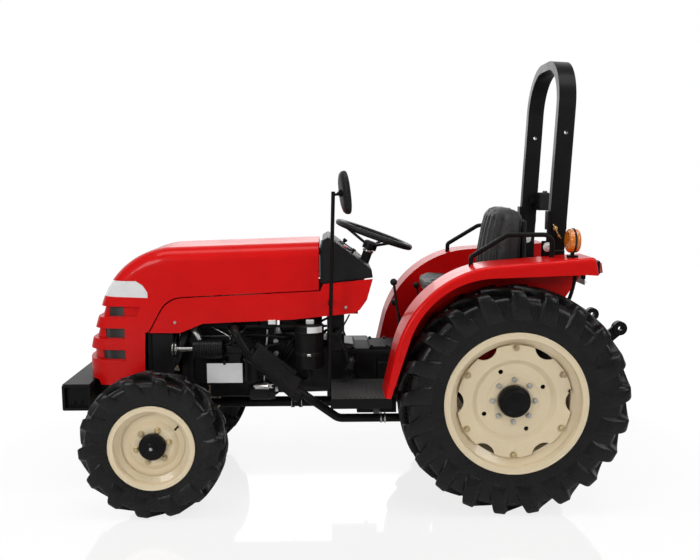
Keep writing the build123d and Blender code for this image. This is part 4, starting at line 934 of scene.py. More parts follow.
LEFT, RIGHT, FRONT, REAR = (0, -1, 0), (0, 1, 0), (-1, 0, 0), (1, 0, 0)
UP, DOWN = (0, 0, 1), (0, 0, -1)
WHEEL_REAR, WHEEL_FRONT = (0, -430, 525), (-1636, -461, 332)
BOOT = [(0, 30), (6, 31), (12, 24), (18, 26), (24, 19), (30, 21), (36, 14), (46, 9), (48, 6.4)]
TURNED = [
    # name, mirrored, body, finish, centre, axis, outline (distance, radius), sides
    ("rear_hub_face", 1, "rear_wheel_left", "black", WHEEL_REAR, LEFT,
     [(79, 60), (83, 59), (85, 55), (84, 50), (81.6, 47), (81.6, 14), (83, 10), (83, 0.5)], 64),
    ("rear_hub_flange", 1, "rear_wheel_left", "cream", WHEEL_REAR, LEFT,
     [(42.5, 122), (44.5, 121), (46, 118), (46, 78), (44, 76), (42.6, 75)], 72),
    ("front_hub_face", 1, "front_wheel_left", "black", WHEEL_FRONT, LEFT,
     [(60, 46), (64, 45), (66, 40), (65, 30), (66, 27), (72, 25), (75, 20), (76, 9), (76, 0.5)], 48),
    ("front_hub_nipple", 1, "front_wheel_left", "steel", WHEEL_FRONT, LEFT,
     [(75, 8), (79, 7), (80, 3.5), (84, 3), (84, 0.5)], 20),
    ("alternator_fins", 0, "root", "engine", (-1488, -212, 716), REAR,
     fins(134, 11, 44.5, 48.5), 40),
    ("alternator_pulley", 0, "root", "steel", (-1592, -212, 716), REAR,
     [(0, 8), (2, 33), (5, 33), (11, 25), (17, 33), (20, 33), (22, 12), (102, 10)], 32),
    ("crank_pulley", 0, "root", "black", (-1591, 0, 600), REAR,
     [(0, 10), (1, 66), (5, 67), (11, 58), (17, 67), (21, 66), (24, 30), (33, 28)], 40),
    ("fan_pulley", 0, "root", "black", (-1591, 0, 830), REAR,
     [(0, 36), (1, 52), (5, 53), (11, 45), (17, 53), (21, 52), (22, 36)], 36),
    ("filter_barrel", 0, "root", "black", (-1210, -200, 556), UP,
     [(0, 20), (0, 34), (4, 38), (10, 39.5), (96, 39.5), (99, 41), (104, 41), (107, 39), (120, 38.5)], 36),
    ("canister_lid", 0, "root", "black", (-935, -215, 794), UP,
     [(0, 70.3), (3, 72.5), (8, 72.5), (10, 70.6), (37, 70.4), (41, 67), (42, 0.5)], 48),
    ("canister_drain", 0, "root", "black", (-935, -215, 604), UP,
     [(0, 10), (3, 16), (14, 17), (21, 52), (23, 66)], 36),
    ("silencer_cap", 0, "root", "black", (-980, -280, 493.5), (-0.748, 0, 0.663),
     [(-3, 24), (0, 29), (5, 32.5), (20, 32.8), (23, 31.4)], 32),
    ("chamber_cap", 0, "root", "black", (-1000, -274, 601.5), (-0.79, 0, 0.61),
     [(-4, 8), (-1, 15), (4, 19), (16, 19.4), (19, 18.4)], 24),
    ("air_cleaner", 0, "root", "black", (-1480, 96, 1040), REAR,
     [(0, 40), (3, 66), (9, 72), (60, 72), (64, 75), (76, 75), (80, 72), (280, 72), (284, 69),
      (300, 62), (304, 30)], 44),
    ("oil_filler", 0, "root", "plastic", (-1400, -20, 938), UP,
     [(0, 20), (10, 20), (12, 27), (24, 27), (27, 24), (27, 0.5)], 12),
    ("radiator_cap", 0, "root", "steel", (-1684, 0, 1108), UP,
     [(0, 24), (8, 24), (9, 30), (18, 30), (21, 26), (22, 0.5)], 16),
    ("starter", 0, "root", "engine", (-1236, -150, 484), REAR,
     [(0, 16), (4, 30), (10, 37), (92, 37), (94, 40), (100, 40), (104, 36), (130, 34)], 32),
    ("start_solenoid", 0, "root", "steel", (-1210, -176, 520), REAR,
     [(0, 6), (8, 7), (9, 17), (64, 17), (68, 19), (74, 19), (78, 12), (96, 11)], 24),
    ("lamp_ring", 1, "root", "plastic", (262, -420, 1250), REAR,
     [(-4, 46), (-4, 56), (-3, 57), (3, 57), (4, 56), (4, 46)], 48),
    ("lever_boot", 0, "root", "rubber", (-477, -178, 671), (-0.15, -0.16, 0.98),
     BOOT, 24),
    ("range_boot", 0, "root", "rubber", (-432, 20, 690), (-0.34, 0.05, 0.94),
     BOOT, 24),
    ("wheel_hub_cap", 0, "steering_wheel", "plastic", (-627.8, 0, 1208.6), (0.337, 0, 0.9415),
     [(-2, 33), (1, 33), (5, 30), (8, 24), (9, 12), (9, 0.5)], 36),
]
for name, mirrored, body, look, at, axis, outline, sides in TURNED:
    made = lathe(outline, axis=axis, sides=sides)
    on_both(name, to_metres(made, at), finishes[look], body, mirrored)

# %% [markdown]
# ## Bands, beads and clamps
# Some turned pieces are rings that go round another piece: the rolled edges of the rims, the
# clamps on pipes, the bands on the canister. Their outline closes on itself.

# %% Rings from a table


def bead_ring(distance, radius, thick):
    """Outline of a round bead as a ring: ten points on a circle of half the thickness."""
    t = np.linspace(0, 2 * np.pi, 10, endpoint=False)
    return np.stack([distance + thick / 2 * np.cos(t), radius + thick / 2 * np.sin(t)], axis=1)


def band(distance, wide, inner, outer):
    """Outline of a flat band with its outer corners taken off."""
    edge = min(1.0, (outer - inner) / 2)
    return np.array([(distance, inner), (distance, outer - edge), (distance + edge, outer),
                     (distance + wide - edge, outer), (distance + wide, outer - edge),
                     (distance + wide, inner)])


RINGS = [
    # name, mirrored, body, finish, centre, axis, closed outline, sides
    ("rear_rim_edge", 1, "rear_wheel_left", "cream", WHEEL_REAR, LEFT, bead_ring(107.5, 323, 8), 96),
    ("rear_rim_inner", 1, "rear_wheel_left", "cream", WHEEL_REAR, LEFT, bead_ring(-107.5, 323, 8), 96),
    ("rear_rim_step", 1, "rear_wheel_left", "cream", WHEEL_REAR, LEFT, bead_ring(74, 298, 5), 96),
    ("front_rim_edge", 1, "front_wheel_left", "cream", WHEEL_FRONT, LEFT, bead_ring(69.5, 191, 7), 80),
    ("front_rim_inner", 1, "front_wheel_left", "cream", WHEEL_FRONT, LEFT, bead_ring(-69.5, 191, 7), 80),
    ("front_rim_step", 1, "front_wheel_left", "cream", WHEEL_FRONT, LEFT, bead_ring(47, 171.5, 4), 80),
    ("front_disc_crease", 1, "front_wheel_left", "cream", WHEEL_FRONT, LEFT, bead_ring(16.5, 140, 4), 72),
    ("tail_pipe_clamp", 0, "root", "steel", (-596, -280, 389), REAR, band(0, 8, 19.8, 24), 32),
    ("tail_pipe_clamp_rear", 0, "root", "steel", (-578, -280, 389), REAR, band(0, 8, 19.8, 24), 32),
    ("shaft_clamp", 0, "root", "steel", (-1036, 0, 392), REAR, band(2, 4, 25.8, 32.5), 32),
    ("shaft_clamp_rear", 0, "root", "steel", (-1036, 0, 392), REAR, band(52, 4, 25.8, 32.5), 32),
    ("canister_band", 0, "root", "engine", (-935, -215, 690), UP, band(0, 16, 69.8, 72), 48),
    ("cleaner_band", 0, "root", "galvanised", (-1380, 96, 1040), REAR, band(0, 18, 71.8, 74), 44),
    ("cleaner_band_rear", 0, "root", "galvanised", (-1260, 96, 1040), REAR, band(0, 18, 71.8, 74), 44),
    ("column_collar", 0, "root", "steel", (-644, 0, 1163.4), (0.337, 0, 0.9415), band(0, 10, 24.2, 28), 32),
]
for name, mirrored, body, look, at, axis, outline, sides in RINGS:
    made = lathe(outline, axis=axis, sides=sides, ring=True)
    on_both(name, to_metres(made, at), finishes[look], body, mirrored)

# %% [markdown]
# ## Pipes, hoses, rods and wires
# Each is a circle carried along a smooth line through a few points. The row gives radius and
# points in millimetres; the line rounds its corners by itself.

# %% Tubes from a table
TUBES = [
    # name, mirrored, body, finish, radius, points
    ("top_hose", 0, "root", "rubber", 21,
     [(-1662, -70, 1060), (-1610, -78, 1058), (-1560, -84, 1020), (-1530, -86, 960), (-1512, -86, 900)]),
    ("bottom_hose", 0, "root", "rubber", 21,
     [(-1662, -120, 620), (-1618, -160, 622), (-1580, -186, 660), (-1556, -186, 720),
      (-1540, -160, 770), (-1528, -118, 790)]),
    ("heater_elbow", 0, "root", "galvanised", 12,
     [(-1496, -121, 800), (-1496, -170, 800), (-1486, -196, 795), (-1470, -204, 778), (-1464, -206, 758)]),
    ("fuel_line_front", 0, "root", "steel", 3.2,
     [(-1322, -190, 734), (-1322, -192, 770), (-1380, -170, 800), (-1430, -140, 822), (-1440, -119, 840)]),
    ("fuel_line_middle", 0, "root", "steel", 3.2,
     [(-1304, -190, 734), (-1304, -194, 776), (-1330, -172, 806), (-1340, -140, 826), (-1340, -119, 840)]),
    ("fuel_line_rear", 0, "root", "steel", 3.2,
     [(-1286, -190, 734), (-1284, -196, 780), (-1252, -172, 800), (-1236, -140, 826), (-1234, -119, 840)]),
    ("dipstick", 0, "root", "steel", 5,
     [(-1160, -112, 500), (-1158, -176, 560), (-1150, -178, 660), (-1142, -170, 760), (-1140, -168, 800)]),
    ("harness", 0, "root", "rubber", 7,
     [(-1350, -170, 706), (-1300, -214, 752), (-1240, -196, 778), (-1150, -190, 776), (-1060, -188, 768),
      (-1000, -150, 760), (-900, -132, 752), (-850, -120, 790)]),
    ("alternator_wire", 0, "root", "rubber", 4,
     [(-1352, -214, 730), (-1322, -222, 742), (-1300, -214, 752)]),
    ("filter_hose", 0, "root", "rubber", 7,
     [(-1196, -200, 676), (-1180, -206, 706), (-1146, -204, 724), (-1090, -176, 730), (-1040, -150, 736)]),
    ("canister_hose", 0, "root", "rubber", 11,
     [(-935, -215, 606), (-936, -214, 580), (-950, -200, 560), (-980, -170, 556), (-1010, -136, 566)]),
    ("starter_cable", 0, "root", "rubber", 6,
     [(-1128, -176, 520), (-1104, -190, 528), (-1076, -186, 566), (-1052, -170, 640), (-1010, -152, 700)]),
    ("intake_hose", 0, "root", "rubber", 26,
     [(-1178, 96, 1040), (-1150, 92, 1036), (-1128, 70, 1010), (-1128, 30, 960), (-1150, 10, 906),
      (-1180, 30, 870)]),
    ("battery_lead", 0, "root", "rubber", 6,
     [(-1800, -70, 752), (-1798, -90, 770), (-1760, -120, 760), (-1730, -150, 660), (-1700, -150, 545),
      (-1600, -138, 536), (-1500, -136, 540)]),
    ("throttle_cable", 0, "root", "rubber", 4,
     [(-742, -232, 884), (-762, -250, 850), (-790, -250, 800), (-800, -230, 760), (-830, -190, 740),
      (-880, -160, 740)]),
    ("clutch_rod", 0, "root", "black", 6,
     [(-762, -215, 706), (-740, -196, 640), (-716, -176, 590), (-690, -150, 556)]),
    ("brake_rod", 1, "root", "black", 6,
     [(-600, -158, 498), (-400, -160, 480), (-200, -164, 470), (-60, -166, 470), (-20, -160, 520)]),
    ("steering_pipe", 0, "root", "black", 6,
     [(-820, -120, 860), (-880, -150, 836), (-960, -158, 790), (-1040, -168, 720), (-1080, -170, 560),
      (-1110, -150, 472), (-1300, -140, 470), (-1470, -136, 462), (-1560, -128, 470)]),
    ("lift_pipe", 0, "root", "steel", 6,
     [(-560, 126, 600), (-540, 142, 620), (-400, 142, 650), (-240, 142, 680), (-150, 130, 730),
      (-100, 120, 760)]),
    ("fender_brace", 1, "root", "black", 9,
     [(322, -304, 1100), (300, -294, 980), (250, -288, 860), (200, -286, 780)]),
    ("mirror_stay_bolt", 0, "root", "black", 6,
     [(-838, -330, 948), (-838, -300, 946), (-838, -262, 946), (-838, -239, 948)]),
]
for name, mirrored, body, look, radius, points in TUBES:
    sides = 14 if radius > 5 else 8
    made = tube(curve(mm(points), 6), radius / 1000, sides)
    on_both(name, made, finishes[look], body, mirrored)

# %% [markdown]
# ## Pressed and machined blocks
# Covers, brackets, plates and boxes are blocks with their edges taken off. Flat sheets that
# carry no writing, such as the blank plate on the engine, are the same thing, only thin.

# %% Blocks from a table
BLOCKS = [
    # name, mirrored, body, finish, low corner, high corner, chamfer
    ("blank_plate", 0, "root", "plate", (-1431, -208.5, 546), (-1259, -206, 643), 1.2),
    ("label_frame", 0, "root", "engine", (-1352, -213, 636), (-1338, -204, 656), 2),
    ("panel_clip_front", 0, "root", "white", (-1130, -243, 838), (-1094, -234, 860), 3),
    ("panel_clip_rear", 0, "root", "white", (-950, -243, 838), (-912, -234, 861), 3),
    ("panel_rail", 0, "root", "black", (-1240, -232, 822), (-850, -222, 834), 2),
    ("radiator_plate", 0, "root", "engine", (-1706, -205, 545), (-1588, -192, 792), 4),
    ("radiator_post", 1, "root", "black", (-1712, -212, 530), (-1690, -191, 1108), 4),
    ("radiator_top", 0, "root", "black", (-1714, -196, 1086), (-1654, 196, 1114), 6),
    ("shroud_edge", 0, "root", "plastic", (-1662, -186, 1052), (-1616, 186, 1066), 4),
    ("battery_case", 0, "root", "plastic", (-1905, -118, 566), (-1738, 118, 738), 6),
    ("battery_cover", 0, "root", "rubber", (-1908, -121, 738), (-1735, 121, 752), 4),
    ("battery_tray", 0, "root", "black", (-1912, -132, 531), (-1730, 132, 566), 4),
    ("rocker_flange", 0, "root", "engine", (-1526, -88, 858), (-1134, 88, 866), 2),
    ("head_gasket", 0, "root", "steel", (-1541, -123, 757), (-1109, 123, 762), 1),
    ("inlet_manifold", 0, "root", "engine", (-1500, 118, 790), (-1150, 158, 840), 8),
    ("exhaust_manifold", 0, "root", "casting", (-1470, -156, 796), (-1180, -118, 846), 8),
    ("pump_cover", 0, "root", "engine", (-1338, -212, 690), (-1259, -202, 728), 4),
    ("pump_body", 0, "root", "engine", (-1330, -200, 640), (-1266, -160, 680), 5),
    ("side_cover", 0, "root", "engine", (-1256, -170, 560), (-1130, -158, 690), 5),
    ("engine_mount", 1, "root", "casting", (-1490, -148, 528), (-1440, -96, 560), 5),
    ("sump_flange", 0, "root", "engine", (-1434, -122, 514), (-1098, 122, 524), 2),
    ("bell_flange", 0, "root", "casting", (-1108, -160, 476), (-1092, 160, 764), 6),
    ("gearbox_flange", 0, "root", "casting", (-728, -134, 462), (-712, 134, 704), 6),
    ("gearbox_cover", 1, "root", "casting", (-600, -143, 510), (-380, -134, 630), 5),
    ("gearbox_lid", 0, "root", "casting", (-640, -108, 686), (-240, 108, 700), 5),
    ("axle_cover", 1, "root", "casting", (-120, -160, 430), (100, -148, 650), 8),
    ("lift_cover", 0, "root", "casting", (-96, -126, 786), (120, 126, 798), 5),
    ("valve_block", 0, "root", "casting", (-60, 40, 796), (60, 120, 850), 6),
    ("lever_bracket", 1, "root", "black", (-492, -186, 628), (-446, -122, 652), 4),
    ("hand_lever_bracket", 0, "root", "black", (-322, 122, 628), (-278, 190, 652), 4),
    ("hose_bracket", 0, "root", "black", (-1046, -172, 726), (-1020, -140, 752), 3),
    ("canister_clamp", 0, "root", "steel", (-945, -294, 692), (-925, -284, 704), 2),
    ("canister_shelf", 0, "root", "black", (-990, -225, 634), (-880, -140, 642), 2),
    ("pedal_rubber_left", 0, "root", "rubber", (-746, -251, 614), (-722, -179, 664), 4),
    ("pedal_box", 1, "root", "black", (-838, -222, 700), (-772, -150, 792), 6),
    ("floor_bracket", 1, "root", "black", (-650, -296, 452), (-628, -150, 506), 4),
    ("floor_gusset", 1, "root", "black", (-800, -296, 470), (-786, -150, 508), 3),
    ("step_edge", 1, "root", "black", (-834, -504, 500), (-556, -498, 548), 2),
    ("toolbox", 0, "root", "plastic", (-790, 318, 548), (-620, 470, 640), 8),
    ("seat_slide", 1, "root", "steel", (-320, -150, 922), (40, -128, 940), 3),
    ("seat_bumper", 1, "root", "rubber", (-300, -140, 900), (-264, -112, 924), 6),
    ("seat_shell", 0, "root", "plastic", (90, -196, 1010), (110, 196, 1330), 9),
    ("rear_plate", 0, "root", "plate", (362, -300, 1030), (366, -130, 1130), 1.5),
    ("plate_stay", 0, "root", "black", (346, -312, 1060), (364, -290, 1120), 3),
    ("tail_bezel", 1, "root", "plastic", (360, -476, 1100), (374, -389, 1164), 5),
    ("hoop_plate", 1, "root", "black", (186, -300, 1120), (264, -294, 1196), 3),
    ("hoop_plate_inner", 1, "root", "black", (186, -250, 1120), (264, -244, 1196), 3),
    ("hoop_front_plate", 1, "root", "black", (166, -300, 1120), (198, -294, 1236), 3),
    ("hoop_front_plate_inner", 1, "root", "black", (166, -250, 1120), (198, -244, 1236), 3),
    ("hoop_strip", 1, "rops", "black", (180, -300, 1290), (196, -244, 1380), 3),
    ("fuel_tank", 0, "root", "plastic", (-1086, -96, 770), (-876, 150, 900), 14),
    ("fuel_tank_strap", 0, "root", "black", (-1000, -99, 767), (-972, 153, 903), 4),
    ("hoop_guard", 1, "rops", "black", (262, -290, 1292), (272, -254, 1364), 3),
    ("post_foot", 1, "root", "black", (-72, -300, 566), (72, -244, 580), 5),
    ("drawbar_strap", 0, "root", "casting", (56, -50, 284), (134, 50, 292), 3),
    ("shield_top", 0, "root", "black", (172, -78, 516), (262, 78, 521), 2),
    ("shield_side", 1, "root", "black", (172, -82, 430), (262, -77, 521), 2),
    ("carrier_lip", 0, "root", "black", (-2110, -262, 552), (-1980, 262, 558), 2),
    ("carrier_block", 1, "root", "casting", (-1976, -152, 470), (-1900, -88, 536), 8),
    ("axle_stop", 1, "root", "casting", (-1668, -128, 466), (-1604, -96, 486), 5),
    ("lamp_bracket", 0, "rops", "black", (296, 176, 1450), (306, 236, 1464), 3),
    ("switch_box", 0, "root", "plastic", (-700, 196, 1060), (-660, 226, 1100), 6),
]
for name, mirrored, body, look, low, high, chamfer in BLOCKS:
    made = slab(mm(low), mm(high), chamfer / 1000)
    on_both(name, made, finishes[look], body, mirrored)

# %% [markdown]
# The bulkhead closes the slot between the hood's rear edge and the cowl. It is a flat plate
# with cut-off upper corners, 6 mm clear of the hood.

# %% Bulkhead
LIP = [(-226, 1036), (226, 1036), (226, 1150), (206, 1190), (168, 1210), (-168, 1210),
       (-206, 1190), (-226, 1150)]
piece("bulkhead", to_metres(prism(LIP, -882, -872.5, 0), (0, 0, 0)), finishes["rubber"])

# %% [markdown]
# ## Bolts and nuts
# Rows of hexagon heads on thin washers hold covers and flanges. A row gives the direction
# the heads look in, their size across flats and their seats.

# %% Bolts from a table


def spaced(start, end, number):
    """Places at equal steps between two ends."""
    return np.linspace(start, end, number).tolist()


BOLTS = [
    # name, mirrored, body, finish, direction, across flats, seats
    ("block_bolts", 1, "root", "engine", LEFT, 14, spaced((-1510, -150, 742), (-1130, -150, 742), 6)),
    ("sump_bolts", 1, "root", "engine", LEFT, 12, spaced((-1420, -122, 519), (-1110, -122, 519), 8)),
    ("side_cover_bolts", 0, "root", "engine", LEFT, 12,
     [(-1246, -170, 572), (-1140, -170, 572), (-1246, -170, 678), (-1140, -170, 678)]),
    ("bell_bolts", 1, "root", "galvanised", LEFT, 16, spaced((-1100, -160, 500), (-1100, -160, 740), 5)),
    ("housing_bolts", 1, "root", "engine", LEFT, 16, spaced((-720, -134, 486), (-720, -134, 684), 4)),
    ("gearbox_bolts", 1, "root", "engine", LEFT, 13,
     spaced((-590, -143, 520), (-390, -143, 520), 4) + spaced((-590, -143, 620), (-390, -143, 620), 4)),
    ("lid_bolts", 1, "root", "engine", UP, 13, spaced((-628, -98, 700), (-252, -98, 700), 6)),
    ("axle_bolts", 1, "root", "engine", LEFT, 14,
     spaced((-108, -160, 442), (88, -160, 442), 4) + spaced((-108, -160, 638), (88, -160, 638), 4)),
    ("rocker_bolts", 0, "root", "steel", UP, 12, spaced((-1490, 0, 940), (-1170, 0, 940), 3)),
    ("rail_bolts", 1, "root", "galvanised", LEFT, 17, spaced((-1940, -130, 508), (-1500, -130, 508), 5)),
    ("carrier_bolts", 1, "root", "casting", LEFT, 12, [(-2062, -241, 462), (-2028, -241, 462)]),
    ("hanger_bolts", 0, "root", "casting", FRONT, 18, [(-1765, -50, 470), (-1765, 50, 470)]),
    ("axle_case_bolts", 0, "root", "casting", DOWN, 13, spaced((-1636, -80, 331), (-1636, 80, 331), 4)),
    ("panel_screws", 1, "root", "steel", LEFT, 9, [(-1572, -238.6, 850), (-760, -240, 920)]),
    ("post_bolts", 1, "root", "galvanised", UP, 20,
     [(-60, -286, 580), (-60, -258, 580), (60, -286, 580), (60, -258, 580)]),
    ("hoop_plate_bolts", 1, "root", "galvanised", LEFT, 18, [(205, -300, 1140), (246, -300, 1140)]),
    ("pivot_bolt", 1, "root", "white", LEFT, 26, [(182, -300, 1211)]),
    ("seat_bolts", 1, "root", "black", UP, 14, [(-250, -90, 950), (-40, -90, 950)]),
    ("fender_bolts", 1, "root", "galvanised", RIGHT, 14,
     [(-480, -298, 640), (-300, -298, 900), (-60, -298, 1060), (120, -298, 1080)]),
    ("fender_top_bolts", 1, "root", "red", UP, 12, [(-187, -388, 1130), (185, -388, 1160)]),
    ("bumper_bolts", 0, "root", "steel", REAR, 10,
     [(366, -290, 1045), (366, -140, 1045), (366, -290, 1115), (366, -140, 1115)]),
    ("knuckle_bolts", 1, "knuckle_left", "casting", DOWN, 14,
     [(-1656, -330, 270), (-1616, -330, 270), (-1656, -370, 270), (-1616, -370, 270)]),
    ("arm_nuts", 1, "knuckle_left", "galvanised", LEFT, 16, [(-1476, -370, 279)]),
    ("stud_nuts", 1, "tie_rod", "galvanised", UP, 22, [(-1476, -350, 319)]),
    ("link_pin_nuts", 1, "root", "galvanised", LEFT, 24, [(30, -232, 330)]),
    ("lift_arm_nuts", 1, "lift", "galvanised", LEFT, 22, [(311, -246, 904)]),
    ("column_bolts", 0, "root", "steel", LEFT, 12, [(-672, -26, 1082)]),
]
FIRST_TURN, NEXT_TURN = 0.3, 0.7      # heads stand at odd angles, in radians
ACROSS_BODIES = ("tie_rod", "lift")   # one body carries both sides, in one piece
for name, mirrored, body, look, direction, across, seats in BOLTS:
    made = gather(*[bolt(mm(seat), direction, across / 1000, FIRST_TURN + NEXT_TURN * n)
                    for n, seat in enumerate(seats)])
    if body in ACROSS_BODIES:
        piece(name, gather(made, flipped(made)), finishes[look], body)
    else:
        on_both(name, made, finishes[look], body, mirrored)

# %% [markdown]
# ## Belt, label, mirror and splines
# A few forms follow a rule of their own. The belt is the outline that a string takes round
# three pulleys. The canister's label is a patch of its barrel. The mirror is a stack of
# upright ovals. The power take-off has six splines.

# %% Forms with a rule of their own


def belt(x, wide, thick, pulleys):
    """A string pulled tight round circles: for each direction n the point is c + r*n of the
    circle whose c.n + r is greatest, so straight runs join neighbouring circles."""
    t = np.linspace(0, 2 * np.pi, 96, endpoint=False)
    n = np.stack([np.cos(t), np.sin(t)], axis=1)
    centres = np.asarray([p[:2] for p in pulleys], float)
    radii = np.asarray([p[2] for p in pulleys], float)
    reach = n @ centres.T + radii
    best = np.argmax(reach, axis=1)
    line = centres[best] + radii[best, None] * n
    rows = [(0, 0), (0, thick), (wide, thick), (wide, 0)]
    points = np.array([[(x + dx, *(line[k] + dr * n[k])) for dx, dr in rows]
                       for k in range(len(t))])
    return grid(mm(points), wrap_rows=True, wrap_cols=True)


def curved_patch(centre, radius, middle_angle, half_angle, low, high, thick):
    """A thin plate bent round an upright barrel: angles are measured from -Y towards +X."""
    t = np.radians(np.linspace(middle_angle - half_angle, middle_angle + half_angle, 14))
    loop = []
    for r in (radius, radius + thick):
        x, y = centre[0] + r * np.sin(t), centre[1] - r * np.cos(t)
        loop.append(np.stack([x, y], axis=1))
    outline = np.vstack([loop[1], loop[0][::-1]])
    return prism(mm(np.c_[outline, np.zeros(len(outline))])[:, :2], low / 1000, high / 1000, 2)


def spline_shaft(x_low, x_high, z, radius, root, teeth):
    """A shaft whose outline steps between two radii, four points to a tooth."""
    outline = []
    for k in range(teeth):
        base = 2 * math.pi * k / teeth
        step = math.pi / teeth
        for share, r in ((0.12, root), (0.30, radius), (1.70, radius), (1.88, root)):
            a = base + share * step
            outline.append((r * math.cos(a) / 1000, (z + r * math.sin(a)) / 1000))
    low, high = mm((x_low, 0, 0))[0], mm((x_high, 0, 0))[0]
    return prism(outline, float(low), float(high), 0)


def outward(shape):
    """A closed form with its faces turned outwards: the signed volume, the sum of
    a.(b x c)/6 over its triangles, is made positive."""
    points, faces = shape
    total = 0.0
    for face in faces:
        corners = points[face]
        total += sum(float(corners[0] @ np.cross(corners[k], corners[k + 1]))
                     for k in range(1, len(face) - 1))
    return (points, faces) if total > 0 else (points, [face[::-1] for face in faces])


PULLEYS = [(0, 600, 61), (0, 830, 47), (-212, 716, 28)]
piece("fan_belt", outward(belt(-1584, 9, 4, PULLEYS)), finishes["rubber"])
piece("canister_label", outward(curved_patch((-935, -215), 70.5, 26, 33, 800, 832, 0.8)),
      finishes["plate"])
piece("shaft_splines", outward(spline_shaft(174, 238, 450, 17.4, 14.8, 6)), finishes["steel"],
      stands_for=["pto_shaft"])

MIRROR_AT = (-786, -330, 1462)
MIRROR_TURN, MIRROR_TILT = math.radians(13), math.radians(7)


def round_loop(half_a, half_b, power, count):
    """A rectangle with round corners, |a/half_a|^p + |b/half_b|^p = 1: each coordinate is its
    half times the cosine or sine raised to 2/p, with its own sign. A higher p is squarer."""
    t = np.linspace(0, 2 * np.pi, count, endpoint=False)
    cos, sin = np.cos(t), np.sin(t)
    return np.stack([half_a * np.sign(cos) * np.abs(cos) ** (2 / power),
                     half_b * np.sign(sin) * np.abs(sin) ** (2 / power)], axis=1)


def mirror_part(rows, count=48):
    """An upright oval dish: each row is (distance behind the stalk, half width, half height)
    of an outline of power 2.4, tilted back and turned towards the driver."""
    points = np.array([np.c_[np.full(count, deep), round_loop(half_w, half_h, 2.4, count)]
                       for deep, half_w, half_h in rows])
    flat, faces = grid(points, wrap_cols=True)
    faces += [face[::-1] for face in end_faces(len(rows), count)]
    placed = turn(turn(flat, (0, 1, 0), -MIRROR_TILT), (0, 0, 1), MIRROR_TURN)
    return outward((mm(placed + np.asarray(MIRROR_AT, float)), faces))


HOUSING = [(2, 30, 52), (3, 44, 74), (8, 56, 90), (16, 63, 98), (26, 65, 100), (31, 64.5, 99.5),
           (33, 63, 98), (33, 60, 95), (31, 59, 94)]
GLASS = [(28, 58.8, 93.8), (31.5, 58.8, 93.8), (33, 40, 66), (33.6, 16, 26)]
piece("mirror_housing", mirror_part(HOUSING), finishes["plastic"], stands_for=["mirror_head"])
piece("mirror_glass", mirror_part(GLASS), finishes["mirror"])
clamp = gather(slab((-8, -12, -16), (7, 12, 16), 3), slab((-4, -26, -7), (6, 26, 7), 2),
               slab((-16, -7, -7), (-6, 7, 7), 2))
clamp = turned(turned(clamp, (0, 1, 0), -MIRROR_TILT), (0, 0, 1), MIRROR_TURN)
piece("mirror_clamp", to_metres(clamp, MIRROR_AT), finishes["black"])

# %% [markdown]
# ## Instruments and small controls
# The panel faces the driver on the cowl's rear slope: three dials, a row of warning lamps, a
# key and two switches. Nothing is written on them.

# %% Instrument panel
PANEL_FROM, PANEL_TO = np.array((-806.0, 0.0, 1228.0)), np.array((-696.0, 0.0, 1147.0))
PANEL_DOWN = (PANEL_TO - PANEL_FROM) / np.linalg.norm(PANEL_TO - PANEL_FROM)
PANEL_OUT = np.cross(PANEL_DOWN, (0.0, 1.0, 0.0))
PANEL_OUT = PANEL_OUT * np.sign(PANEL_OUT[2])


def on_panel(down, across):
    """A place on the slope, in millimetres from its top edge and from its middle."""
    return PANEL_FROM + PANEL_DOWN * down + np.array((0, across, 0))


def dial(down, across, radius):
    """A raised rim round a dished face."""
    outline = [(-3, radius), (3, radius), (5, radius - 2), (5, radius - 4), (1.5, radius - 6),
               (1.0, 0.5)]
    return lathe(outline, axis=PANEL_OUT, sides=36), on_panel(down, across)


PANEL = [
    # name, down the slope, across, radius, finish, outline or None for a dial
    ("dial_middle", 62, 0, 44, "plastic", None),
    ("dial_left", 66, -82, 27, "plastic", None),
    ("dial_right", 66, 82, 27, "plastic", None),
    ("dial_glass", 62, 0, 37, "glass", [(2, 37), (3, 37), (4.2, 20), (4.5, 0.5)]),
    ("key_ring", 96, 150, 13, "steel", [(-2, 13), (4, 13), (6, 10), (6, 5), (2, 4), (2, 0.5)]),
    ("light_knob", 52, 150, 11, "plastic", [(-2, 7), (8, 7), (9, 11), (20, 12), (23, 10), (23, 0.5)]),
    ("horn_knob", 52, -150, 12, "red_lens", [(-2, 13), (3, 13), (4, 10), (7, 9), (8, 6), (8, 0.5)]),
    ("choke_knob", 96, -150, 10, "plastic", [(-2, 5), (12, 5), (13, 10), (22, 10), (24, 8), (24, 0.5)]),
]
for name, down, across, radius, look, outline in PANEL:
    if outline is None:
        shape, at = dial(down, across, radius)
    else:
        shape, at = lathe(outline, axis=PANEL_OUT, sides=24), on_panel(down, across)
    piece(name, to_metres(shape, at), finishes[look])

warning = lathe([(-1, 4.5), (1.5, 4.5), (2.5, 3), (2.5, 0.5)], axis=PANEL_OUT, sides=12)
row = [to_metres(warning, on_panel(112, across)) for across in (-48, -24, 0, 24, 48)]
piece("warning_lamps", gather(*row), finishes["amber"])

# %% Valve stems


def valve(circle, seat, length, turn_by):
    """A stem that leans out of the rim's well, with a cap, at an angle behind the top."""
    outline = [(0, 5), (length * 0.6, 4), (length * 0.6, 5), (length, 5), (length + 1, 0.5)]
    stem = lathe(outline, at=(0, -seat, circle), axis=(0, -0.9, -0.44), sides=12)
    return turned(stem, (0, 1, 0), math.radians(turn_by))


VALVES = [
    # wheel, its middle, circle radius, seat, length, angle behind the top
    ("rear", WHEEL_REAR, 262, 52, 38, 78),
    ("front", WHEEL_FRONT, 146, 34, 26, 52),
]
for wheel, at, *row in VALVES:
    on_both(f"{wheel}_valve", to_metres(valve(*row), at), finishes["rubber"],
            f"{wheel}_wheel_left")

